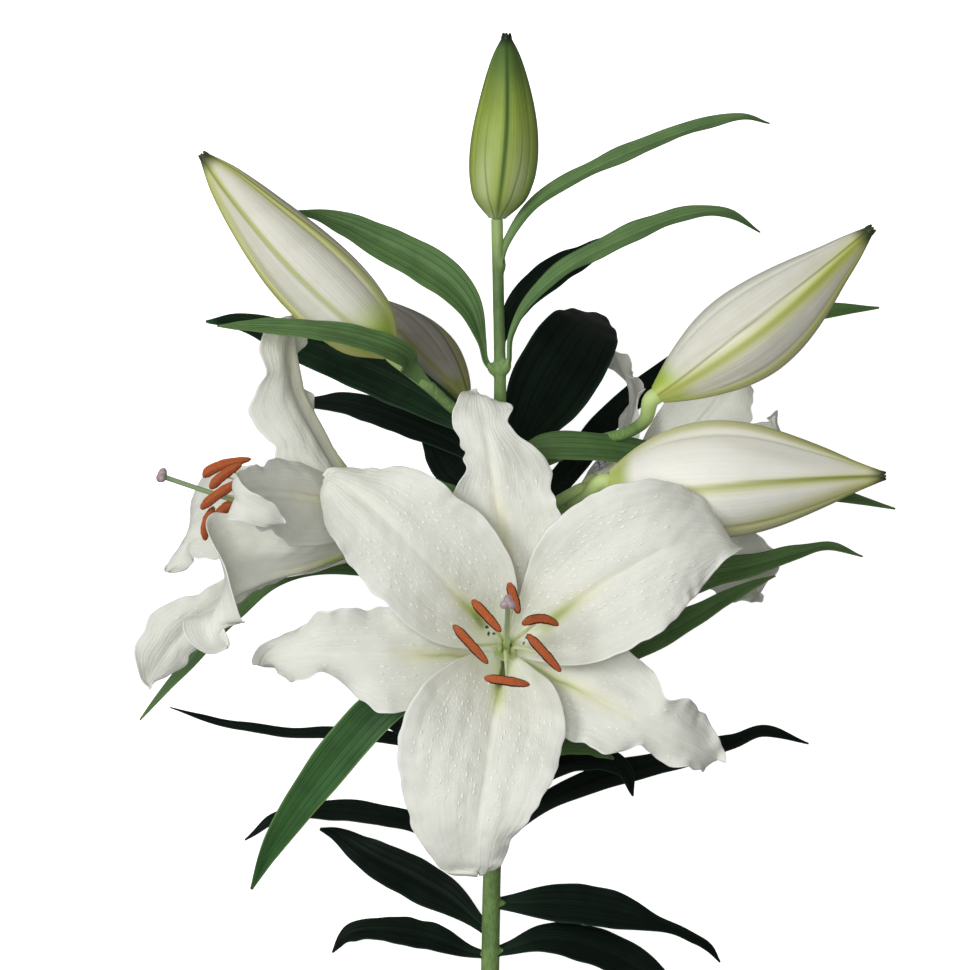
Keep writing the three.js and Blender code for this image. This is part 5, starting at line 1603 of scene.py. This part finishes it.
LEAVES = (
    Leaf("leaf_top_right", YOUNG, 13.5, 0.25, (-50, -62, -62, -58, -50),
         ((5.4, 84, 95), (9, 97, 98), (22, 113, 101), (49, 128, 104), (81, 141, 103), (102, 146.5, 99),
          (113.6, 144.4, 95))),
    Leaf("leaf_upper_right", YOUNG, 15, 0.25, (-60, -62, -60, -58, -55),
         ((6, 44.5, 90), (9.2, 49, 93.5), (10.4, 60, 97.5), (18, 73, 100), (34, 86.5, 102.5),
          (54, 97, 104), (78, 106.5, 101), (96, 108.5, 97), (110, 101, 92)), STALKED_LEAF_OUTLINE),
    Leaf("leaf_upper_right_back", DARK, 14, 0.15, (-20, -30, -35, -30),
         ((5.6, 55, 91.4), (9, 64, 88), (16, 75, 85), (28, 85, 82), (40, 92, 80), (50, 97, 79),
          (59, 102, 78))),
    Leaf("leaf_upper_left", MID, 17, 0.2, (45, 30, 25, 30, 40),
         ((6, 44.5, 90), (0.6, 49, 92), (-1.6, 58, 95), (-6, 70, 97.5), (-14, 80, 97.5), (-26, 88.5, 96),
          (-40, 96, 93), (-54, 103, 90), (-66, 107.5, 87.5), (-77, 109.6, 86)), STALKED_LEAF_OUTLINE),
    Leaf("leaf_back_right", DARK, 34, 0.08, (-10, -10, -10, -10),
         ((6.1, 8, 83.8), (14, 18, 75), (22, 32, 64), (30, 46, 54), (38, 59, 43), (43, 66, 28),
          (45, 69, 13), (46, 71, 0))),
    Leaf("leaf_left_bract", MID, 13.5, 0.15, (-40, 35, 50, 50, 40),
         ((-20, 37.5, 102), (-29, 46, 112), (-33, 51.5, 126), (-48, 57, 133), (-68, 61, 133),
          (-88, 62.5, 127), (-106, 63, 118))),
    Leaf("leaf_left_dark", DUSK, 21, 0.12, (20, 22, 28, 35),
         ((6.1, 16, 85.4), (-10, 26, 84), (-32, 39, 79), (-56, 50, 73), (-80, 59, 71), (-98, 65, 75),
          (-112, 65.5, 81))),
    Leaf("leaf_left_back", DARK, 15, 0.12, (30, 40, 40, 30),
         ((6.1, 4, 82.9), (-12, 16, 66), (-32, 25, 47), (-52, 32, 30), (-68, 34, 15), (-80, 32, 3))),
    Leaf("leaf_back_left", DARK, 22, 0.1, (-10, -10, -10, -10),
         ((6.2, -6, 81), (-4, 2, 68), (-12, 11, 53), (-17, 21, 38), (-20, 31, 26), (-22, 39, 18))),
    Leaf("leaf_left_small", MID, 14, 0.2, (40, 50, 50, 40),
         ((6.2, -18, 78.6), (-4, -11, 79), (-16, -4.5, 78.5), (-27, 1.5, 77), (-36, 6, 75))),
    Leaf("leaf_right_bract", MID, 15.5, 0.2, (-38, -45, -45, -35, -30),
         ((6.1, 8, 83.8), (13, 13, 87), (20, 14.6, 89.5), (30, 15, 90), (42, 14.6, 87), (53, 13.6, 81),
          (66, 11.4, 75.5), (98, 4, 75.6), (136, -3, 76), (165, -9.6, 75)), BRACT_OUTLINE),
    Leaf("leaf_right_far", TRAILING, 18, 0.15, (-20, -20, -30, -45),
         ((6.2, -16, 79), (23, -6, 50), (37, 9, 27), (49, 25, 12), (68, 41, 7.5), (98, 58, 25),
          (128, 69, 50), (159, 71.5, 64)), TRAILING_OUTLINE, tip_start=0.78),
    Leaf("leaf_right_middle", MID, 16, 0.2, (-40, -35, -35, -50, -55),
         ((6, -62, 66), (30, -60, 66), (60, -50, 70), (84, -38, 73), (102, -34, 75), (114, -31, 76),
          (126, -27.5, 76), (139, -25, 75), (152, -28.8, 72))),
    Leaf("leaf_right_front", MID, 14, 0.2, (-40, -40, -42, -45),
         ((5.8, -78, 62), (28, -77, 72), (56, -67, 84), (71, -60.5, 87), (84, -53, 88), (95.5, -46, 88),
          (106, -40.5, 87), (116.4, -36.4, 85))),
    Leaf("leaf_low_right", DARK, 15, 0.2, (-45, -50, -52, -55, -50),
         ((3, -153, 34), (11, -141, 38), (26, -129, 41), (50, -119, 42), (78, -112, 42), (100, -105.5, 40),
          (114, -100.5, 37), (132, -105.5, 33))),
    Leaf("leaf_right_small", DARK, 14, 0.2, (-45, -50, -40, -30),
         ((4, -128, 45), (17, -120, 52), (32, -113, 58), (46, -111, 60), (56, -115, 57), (60, -126, 51))),
    Leaf("leaf_right_short", MID, 15, 0.15, (-40, -40, -40, -40),
         ((4.6, -112, 51.6), (18, -107, 60), (32, -104, 66), (44, -106, 67), (52, -110.5, 65))),
    Leaf("leaf_left_long", DARK, 9, 0.2, (55, 58, 60, 55),
         ((4.4, -116, 50.2), (-14.2, -109.8, 41), (-36.7, -104, 33), (-63.3, -101.6, 28),
          (-81.8, -101.7, 25), (-108.5, -97.2, 22), (-129, -91.1, 20))),
    Leaf("leaf_left_front", DEEP, 17, 0.3, (10, 12, 12, 10),
         ((5.9, -70, 64.4), (-8, -73, 74), (-24, -79, 82), (-40.5, -89, 84), (-54, -103, 80),
          (-67, -119, 73), (-78, -134, 65), (-88, -150, 56), (-94.8, -164, 48))),
    Leaf("leaf_left_inner", DARK, 20, 0.1, (0, 0, 0, 0),
         ((5, -104, 54.3), (-10, -100, 53), (-26, -95, 51), (-40, -89, 48), (-52, -82.5, 44))),
    Leaf("leaf_low_left", DARK, 15, 0.2, (50, 55, 58, 50),
         ((3.2, -148, 36), (-14.3, -143.9, 31), (-36.8, -136.9, 26), (-59.4, -134.2, 20),
          (-82.1, -135.4, 15), (-98.6, -145.8, 12))),
    Leaf("leaf_bottom_left", DARK, 18, 0.15, (25, 22, 20, 20),
         ((2.3, -184, 22), (-4.1, -178.1, 21), (-14.3, -170.1, 19), (-28.7, -162, 16),
          (-46.2, -153, 12), (-59.6, -144.4, 9), (-67.9, -141.4, 8))),
    Leaf("leaf_base_left", DARK, 16, 0.2, (48, 48, 48, 45),
         ((2.1, -193, 19.3), (-8.2, -191.1, 18), (-22.6, -186.1, 16), (-39, -183.3, 13),
          (-51.4, -183.5, 10), (-57.6, -186.1, 8), (-62.8, -192.4, 6))),
    Leaf("leaf_bottom_right", DARK, 18, 0.15, (-28, -28, -30, -40),
         ((2.5, -171, 26.6), (16, -171, 28), (32, -171.5, 26), (48, -173.5, 22), (62, -177, 18),
          (76, -182, 13), (85, -186, 10), (92, -190.5, 8), (96.7, -196.3, 7)), LONG_TIP_OUTLINE),
    Leaf("leaf_base_right", DARK, 19, 0.2, (-38, -38, -40, -40),
         ((2.1, -192, 19.6), (10.2, -189.9, 21), (24.6, -186.3, 21), (43, -189.6, 18),
          (59.5, -197, 14), (76, -207.6, 10), (90.5, -219.1, 6))),
    Leaf("leaf_far_left", MID, 14, 0.2, (35, 45, 48, 45),
         ((6.1, -42, 72), (-16, -38, 62), (-40, -34, 57), (-64, -32, 53), (-84, -37.5, 50), (-100, -50, 47),
          (-116, -67.5, 44), (-128, -81, 42), (-140.4, -95.6, 40))),
)


# ------------------------------------------------------------------ buds

@dataclass(frozen=True)
class BudMark:
    """A coloured line, band or crease along a bud.

    turns are degrees round the bud at equal steps from its base to its tip, width is its half width in mm,
    strengths says how strong it is along the bud, and rise is how far it stands out in mm. Two kinds
    are painted shade, broad and thin, laid in creases, beside ridges and along the bud's edges.
    """

    kind: str
    turns: Values
    width: float
    strengths: Values
    rise: float = 0.0


@dataclass(frozen=True)
class Bud:
    """A closed bud: three ridged outer tepals folded over the rest, between its stalk and its beak.

    bow bends it sideways, in mm. turn is where one ridge lies and beak where the points of the tip lie,
    in degrees round the bud. Below base_end and above tip_start it has the colours of its ends.
    """

    name: str
    tone: BudTone
    base: Sequence[float]
    tip: Sequence[float]
    bow: float
    width: float
    depth: float
    turn: float
    stalk: Points = ()
    outline: Values = BUD_OUTLINE
    marks: tuple[BudMark, ...] = ()
    base_end: float = 0.12
    tip_start: float = 0.95
    beak: Values = (0, 120, 240)
    rows: int = 130
    sides: int = 180

    def skin(self) -> Skin:
        """Builds the bud with its ridges, its marks and its beak.

        Returns:
            The skin, with its colour values.
        """
        base = np.array(self.base, float)
        axis = np.array(self.tip, float) - base
        length = float(np.linalg.norm(axis))
        axis = unit(axis)
        across = unit(np.cross([0, 0, 1], axis))
        toward = np.cross(axis, across)
        s = np.concatenate([0.1 * np.linspace(0, 1, 24, endpoint=False) ** 1.6,
                            np.linspace(0.1, 1, self.rows - 24)])
        share = s[:, None]
        turn = np.linspace(0, 2 * math.pi, self.sides, endpoint=False)[None, :]
        middle = base + axis * (s * length - 0.2)[:, None]
        middle = middle - across * (self.bow * np.sin(math.pi * s))[:, None]
        facing = 3 * (turn - math.radians(self.turn))
        swelling = smooth(0, 0.2, share)
        off_ridge = (facing + math.pi) % (2 * math.pi) - math.pi
        off_seam = facing % (2 * math.pi) - math.pi
        lobes = 1 + 0.05 * np.cos(facing) * swelling + 0.07 * np.cos(facing) * (1 - smooth(0.02, 0.2, share))
        lobes = lobes + 0.02 * bell(off_ridge, 0.3) * swelling
        lobes = lobes - 0.03 * bell(off_seam, 0.25) * smooth(0.06, 0.3, share)
        mean = (self.width + self.depth) / 4
        radius = along(self.outline, s)[:, None] * lobes
        # Two of the mark kinds are painted shade, broad and thin; the others are the bud's own colours.
        values = {kind: np.zeros_like(radius) for kind in ("line", "band", "grey", "dark")}
        rise = np.zeros_like(radius)
        for mark in self.marks:
            away = np.degrees(turn) - along(mark.turns, s)[:, None]
            away = np.radians((away + 180) % 360 - 180) * radius * mean
            strength = np.clip(along(mark.strengths, s), 0, 1)[:, None]
            shape = bell(away, mark.width) * strength
            values[mark.kind] = np.maximum(values[mark.kind], shape)
            rise = rise + mark.rise * bell(away, 1.3 * mark.width) * strength
        seed = sum(map(ord, self.name))
        uneven = 1 + 0.012 * ripple(share + turn / 9, seed, 1.2, 3) * swelling
        radius = radius * uneven + rise / mean
        wide = self.width / 2 * radius * np.cos(turn)
        deep = self.depth / 2 * radius * np.sin(turn)
        rings = middle[:, None] + across * wide[..., None] + toward * deep[..., None]
        values.update({
            "along": share + 0 * turn,
            "across": 0 * share + np.sin(0.5 * turn) * 2,
            "base": (1 - smooth(0.3 * self.base_end, self.base_end, share)) + 0 * turn,
            "tip": smooth(self.tip_start - 0.05, self.tip_start + 0.02, share) + 0 * turn,
        })
        body = tube_skin(middle[[0, -1]], rings, values)
        points = []
        for degrees in self.beak:
            angle = math.radians(self.turn + degrees)
            outward = across * math.cos(angle) + toward * math.sin(angle)
            path = [middle[-1] + axis * up + outward * out
                    for up, out in ((-4.0, 0.8), (-1.2, 1.3), (0.9, 1.5))]
            point = swept(path, [0.7, 1.2, 0.4], 14, 14)
            point.values = {kind: np.full(len(point.points), float(kind == "tip")) for kind in values}
            points.append(point)
        return join_skins([body, *points])

    def build(self) -> None:
        """Builds and dresses the bud."""
        piece = self.skin().to_object(f"closed_{self.name}")
        dress(piece, self.tone.value, [self.name])


# In the marks below, the broad and thin shade kinds are painted shade in the creases, beside the ridges and
# along the edges.
BUDS = (
    Bud("bud_top", BudTone.GREEN, (4.8, 106.5, 97), (8.6, 179.5, 101), 1.4, 27, 27, 86,
        base_end=0.05, tip_start=0.97, marks=(
            BudMark("line", (90, 92, 93, 92, 90), 1.0, (0.5, 0.9, 1, 1, 1), -0.25),
            BudMark("band", (52, 56, 60, 70), 5.5, (0.3, 0.95, 0.35, 0, 0, 0)),
            BudMark("band", (130, 126, 120, 110), 5.5, (0.3, 0.95, 0.35, 0, 0, 0)),
            BudMark("grey", (0, 0, 0), 2.6, (0.7, 0.5, 0.6, 0.8, 1)),
            BudMark("grey", (182, 182, 182), 3.6, (1, 0.8, 0.9, 1, 1)),
            BudMark("grey", (60, 60, 60), 9.0, (0, 0, 0, 0, 0.35, 0.8, 1)),
            BudMark("grey", (125, 125, 125), 9.0, (0, 0, 0, 0, 0.35, 0.9, 1)),
            BudMark("dark", (72, 58, 60, 70), 0.35, (0.6, 0.6, 0.3, 0, 0), -0.1),
            BudMark("dark", (110, 122, 118, 108), 0.35, (0.6, 0.6, 0.3, 0, 0), -0.1),
            BudMark("dark", (183, 183, 183), 1.6, (0.5, 0.3, 0.5, 0.8, 1)),
        )),
    Bud("bud_left", BudTone.WHITE, (-37.5, 52.8, 108), (-112, 130.8, 120), -1.9, 33, 32, 84,
        ((6.1, 30, 87.5), (-8, 28, 96), (-21, 38, 103)), base_end=0.26, tip_start=0.975, marks=(
            BudMark("line", (84, 80, 77, 75, 72), 1.1, (0.6, 0.7, 0.8, 0.9, 1), 0.35),
            BudMark("dark", (80, 76, 73, 71, 68), 0.4, (0, 0.3, 0.4, 0.6, 0.9)),
            BudMark("band", (10, 8, 8, 12), 6.0, (1, 1, 1, 1)),
            BudMark("line", (2, 2, 2), 1.8, (0.2, 0.4, 0.6, 0.8)),
            BudMark("grey", (34, 36, 40), 0.8, (0, 0.5, 0.7, 0.5), -0.2),
            BudMark("grey", (62, 62, 62), 2.2, (0, 0.15, 0.3, 0.2)),
            BudMark("band", (162, 158, 152, 148, 148), 3.0, (0.8, 0.9, 1, 1, 1)),
            BudMark("dark", (176, 168, 160, 156, 156), 0.5, (0.3, 0.6, 0.8, 0.8, 0.8), -0.3),
            BudMark("grey", (190, 180, 172, 170, 172), 3.2, (0, 0.2, 1, 1, 1)),
        )),
    Bud("bud_left_back", BudTone.CREAM_PAINTED_SHADE, (-8.5, 34.5, 73), (-52, 79, 0.4), 0, 27, 29, 75,
        ((6.1, 18, 85.6), (0, 23, 81), (-4, 29, 77.5)), SLIM_BUD_OUTLINE, marks=(
            BudMark("line", (95, 92, 90), 1.0, (1, 1, 1), 0.3),
            BudMark("band", (175, 170, 165), 2.5, (1, 1, 0.8)),
            BudMark("dark", (160, 156, 152), 0.5, (0.8, 0.8, 0.8)),
        )),
    Bud("bud_right_upper", BudTone.WHITE, (69, 36, 101), (154, 102, 108), 3, 36, 34, 90,
        ((6.1, 2, 82.5), (28, 11, 74), (46, 18, 74.5), (57, 21, 82), (64, 26, 92)), SLIM_BUD_OUTLINE,
        base_end=0.14, tip_start=0.96, marks=(
            BudMark("line", (100, 98, 97, 96, 92), 1.5, (0.9, 0.7, 0.8, 1, 1), 0.45),
            BudMark("band", (100, 98, 97, 96, 92), 3.2, (0.9, 0.7, 0.8, 1, 1)),
            BudMark("dark", (90, 84, 81, 80, 78), 0.45, (0.8, 0.8, 0.7, 0.8, 1), -0.25),
            BudMark("grey", (80, 74, 70, 70, 72), 3.2, (0.3, 0.35, 0.3, 0.5, 0.7)),
            BudMark("grey", (116, 112, 108, 110), 2.4, (0.4, 0.3, 0.5, 0.8)),
            BudMark("grey", (60, 84, 92), 1.3, (0, 0.5, 0.5, 0, 0), -0.3),
            BudMark("grey", (134, 122, 112), 1.6, (0, 0.4, 0.4, 0, 0), -0.3),
            BudMark("band", (166, 164, 162, 160), 3.4, (0.8, 1, 1, 1)),
            BudMark("dark", (178, 176, 174, 172), 0.8, (0.8, 0.7, 0.7, 0.9)),
            BudMark("grey", (4, 4, 4), 2.2, (0.6, 0.5, 0.6, 0.9)),
        )),
    Bud("bud_right_lower", BudTone.CREAM_PAINTED_LIT, (50, 1, 99), (159, 3.6, 105), 0, 47, 39, 93,
        ((6.2, -20, 78), (24, -14, 82), (38, -6, 92)), BROAD_BUD_OUTLINE,
        base_end=0.1, tip_start=0.985, marks=(
            BudMark("line", (104, 99, 95, 93, 91), 0.85, (0.1, 0.3, 0.7, 1, 1), 0.3),
            BudMark("band", (106, 101, 97, 95, 93), 2.2, (0.3, 0.7, 0.8, 0.8, 0.8)),
            BudMark("dark", (100, 96, 92.5, 91, 90), 0.4, (0, 0, 0.4, 0.8, 1), -0.2),
            BudMark("band", (10, 12, 12, 12), 4.0, (0.8, 0.8, 1, 1)),
            BudMark("line", (2, 2, 2), 1.6, (0, 0.2, 0.7, 1)),
            BudMark("grey", (30, 40, 60, 74), 4.0, (0, 0.25, 0.5, 0.5, 0.2), -0.5),
            BudMark("band", (160, 158, 152, 148), 6.5, (0.6, 0.8, 1, 1)),
            BudMark("line", (178, 178, 176), 2.2, (0.2, 0.5, 0.9, 1)),
        )),
)


# ------------------------------------------------------------------ the stem and its stalks

@dataclass(frozen=True)
class Stem:
    """The stem with every flower stalk and seat grown together in one skin."""

    path: Points = (
        (1.5, -264, 3.4), (1.8, -230, 10), (2.2, -194, 19), (3, -153, 34), (5, -105, 54), (6, -62, 66),
        (6.2, -20, 78), (6, 20, 86), (6, 45, 90), (5.4, 74, 94), (4.8, 106.5, 97),
    )
    radii: Values = (3.9, 3.85, 3.8, 3.7, 3.6, 3.5, 3.3, 2.9, 2.6, 2.35, 2.45)
    voxel: float = 0.6

    def tubes(self) -> list[Skin]:
        """Builds the stem, the stalks, the seats and the leaf feet.

        Returns:
            Their skins, which run into each other.
        """
        parts = [swept(self.path, self.radii, 24, 260)]
        foot, neck = STALK_RADIUS["foot"], STALK_RADIUS["neck"]
        for bud in BUDS:
            if bud.stalk:
                end = np.array(bud.base, float)
                back = end - 4 * unit(np.array(bud.tip, float) - end)
                radii = [foot, foot, foot, neck, BUD_SEAT_RADIUS]
                parts.append(swept([*bud.stalk, back, end], radii, 20, 60))
        for bloom in BLOOMS:
            frame = bloom.frame
            ends = frame.place([(0, -9, 0), (0, -3, 0)])
            parts.append(swept([*bloom.stalk, *ends], [foot, foot, foot, neck, neck], 20, 60))
            seat = frame.place([(0, -SEAT_HEIGHT, 0), (0, -3, 0), (0, -1.4, 0), (0, 0, 0)])
            parts.append(swept(seat, [2.0, SEAT_RADIUS * 0.72, SEAT_RADIUS, SEAT_RADIUS], 28, 16))
        for leaf in LEAVES:
            line = stations(leaf.path, np.array([0, 0.03, 0.06]))[0]
            parts.append(swept(line, [2.0, 2.3, 0.9], 12, 8))
        return parts

    def build(self) -> None:
        """Builds the parts, melts them together and dresses the result."""
        piece = join_skins(self.tubes()).to_object("stem_and_stalks")
        remesh = piece.modifiers.new("melt", "REMESH")
        remesh.mode = "VOXEL"
        remesh.voxel_size = self.voxel * MILLIMETRE
        relax = piece.modifiers.new("relax", "SMOOTH")
        relax.factor = 0.5
        relax.iterations = 6
        settled(piece)
        piece.data.shade_smooth()
        for name, value in self.colour_values(piece.data).items():
            layer = piece.data.attributes.new(name, "FLOAT", "POINT")
            layer.data.foreach_set("value", value.astype(np.float32))
        dress(piece, StemFinish(), ["stem"])

    def colour_values(self, mesh: bpy.types.Mesh) -> dict[str, np.ndarray]:
        """Works out where the skin is paler with a painted glow, below each bud and bloom, and where painted
        shade lies.

        Args:
            mesh: The melted mesh.

        Returns:
            The named values of its points.
        """
        places = np.zeros(len(mesh.vertices) * 3, np.float32)
        mesh.vertices.foreach_get("co", places)
        places = places.reshape(-1, 3)
        # Paler young tissue below each bud and bloom, which also gets a painted glow of light.
        fresh_tint_and_painted_light = np.zeros(len(places))
        for flower in (*BUDS, *BLOOMS):
            near = np.linalg.norm(places - to_frame(flower.base), axis=1)
            fresh_tint_and_painted_light = np.maximum(fresh_tint_and_painted_light, 1 - smooth(0.004, 0.022, near))
        x, y, _ = (places / MILLIMETRE + OUTLINE_MIDDLE).T
        fresh_tint_and_painted_light = fresh_tint_and_painted_light * (1 - 0.6 * smooth(84, 96, y))
        # Painted shade: a stretch of the main stem below the upper leaves is darkened.
        shaded = 0.4 * smooth(46, 58, y) * (1 - smooth(84, 102, y))
        shaded = shaded * (1 - smooth(2.6, 3.2, np.abs(x - 5.7)))
        return {"fresh_tint_and_painted_light": fresh_tint_and_painted_light, "shaded": shaded}


# ------------------------------------------------------------------ the studio

@dataclass(frozen=True)
class Studio:
    """A pale table under soft light, seen straight from above. Its sizes are in metres.

    field is the breadth that the camera sees at field_height above the table.
    """

    camera_height: float = 3.0
    field: float = 0.388
    field_height: float = 0.09
    aim: tuple[float, float] = (-0.0122, 0.0424)
    key_place: tuple[float, float, float] = (-2.3, 0.9, 2.6)
    key_size: float = 1.2
    key_power: float = 55.0
    overhead_place: tuple[float, float, float] = (-0.3, 0.2, 3.3)
    overhead_size: float = 1.4
    overhead_power: float = 36.0
    sky: float = 0.2
    table_glow: float = 0.85
    table_size: float = 6.0

    def build(self) -> None:
        """Builds the table, the lights, the sky and the camera."""
        scene = bpy.context.scene
        scene.view_settings.view_transform = "Standard"
        scene.view_settings.look = "None"
        self.build_table()
        self.build_camera()
        self.build_light("key", self.key_place, self.key_size, self.key_power)
        self.build_light("overhead", self.overhead_place, self.overhead_size, self.overhead_power)
        world = bpy.data.worlds.new("studio")
        world.use_nodes = True
        background = world.node_tree.nodes["Background"]
        background.inputs["Color"].default_value = (1.0, 0.995, 0.98, 1.0)
        background.inputs["Strength"].default_value = self.sky
        scene.world = world

    def build_camera(self) -> None:
        """Hangs the camera over the plant."""
        camera = bpy.data.cameras.new("camera")
        camera.sensor_width = 36.0
        camera.lens = 36.0 * (self.camera_height - self.field_height) / self.field
        camera.clip_end = 50.0
        holder = bpy.data.objects.new("camera", camera)
        holder.location = (*self.aim, self.camera_height)
        bpy.context.scene.collection.objects.link(holder)
        bpy.context.scene.camera = holder

    def build_light(self, name: str, place: tuple[float, float, float], size: float, power: float) -> None:
        """Hangs a square soft light that faces the plant.

        Args:
            name: The light's name.
            place: Where it hangs.
            size: The length of its side.
            power: Its power in watts.
        """
        light = bpy.data.lights.new(name, "AREA")
        light.shape = "SQUARE"
        light.size = size
        light.energy = power
        holder = bpy.data.objects.new(name, light)
        holder.location = place
        x, y, z = place
        holder.rotation_euler = (math.atan2(math.hypot(x, y), z), 0, math.atan2(y, x) + math.pi / 2)
        bpy.context.scene.collection.objects.link(holder)

    def build_table(self) -> None:
        """Lays the table top."""
        half = self.table_size / 2
        mesh = bpy.data.meshes.new("table")
        corners = [(-half, -half, 0), (half, -half, 0), (half, half, 0), (-half, half, 0)]
        mesh.from_pydata(corners, [], [(0, 1, 2, 3)])
        table = bpy.data.objects.new("table", mesh)
        bpy.context.scene.collection.objects.link(table)
        shader = Shader("white_table")
        table.data.materials.append(shader.finished(
            "#F4F4F4", 0.9, Specular_IOR_Level=0.0, Emission_Color=(1.0, 1.0, 1.0, 1.0),
            Emission_Strength=self.table_glow,
        ))
        table.visible_diffuse = False
        table.visible_glossy = False


# ------------------------------------------------------------------ the whole plant

def main() -> None:
    """Loads the frame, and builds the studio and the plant."""
    logging.basicConfig(level=logging.INFO, format="%(name)s %(message)s")
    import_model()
    Studio().build()
    Stem().build()
    for leaf in LEAVES:
        leaf.build()
    for bud in BUDS:
        bud.build()
    for bloom in BLOOMS:
        bloom.build()


if __name__ == "__main__":
    main()
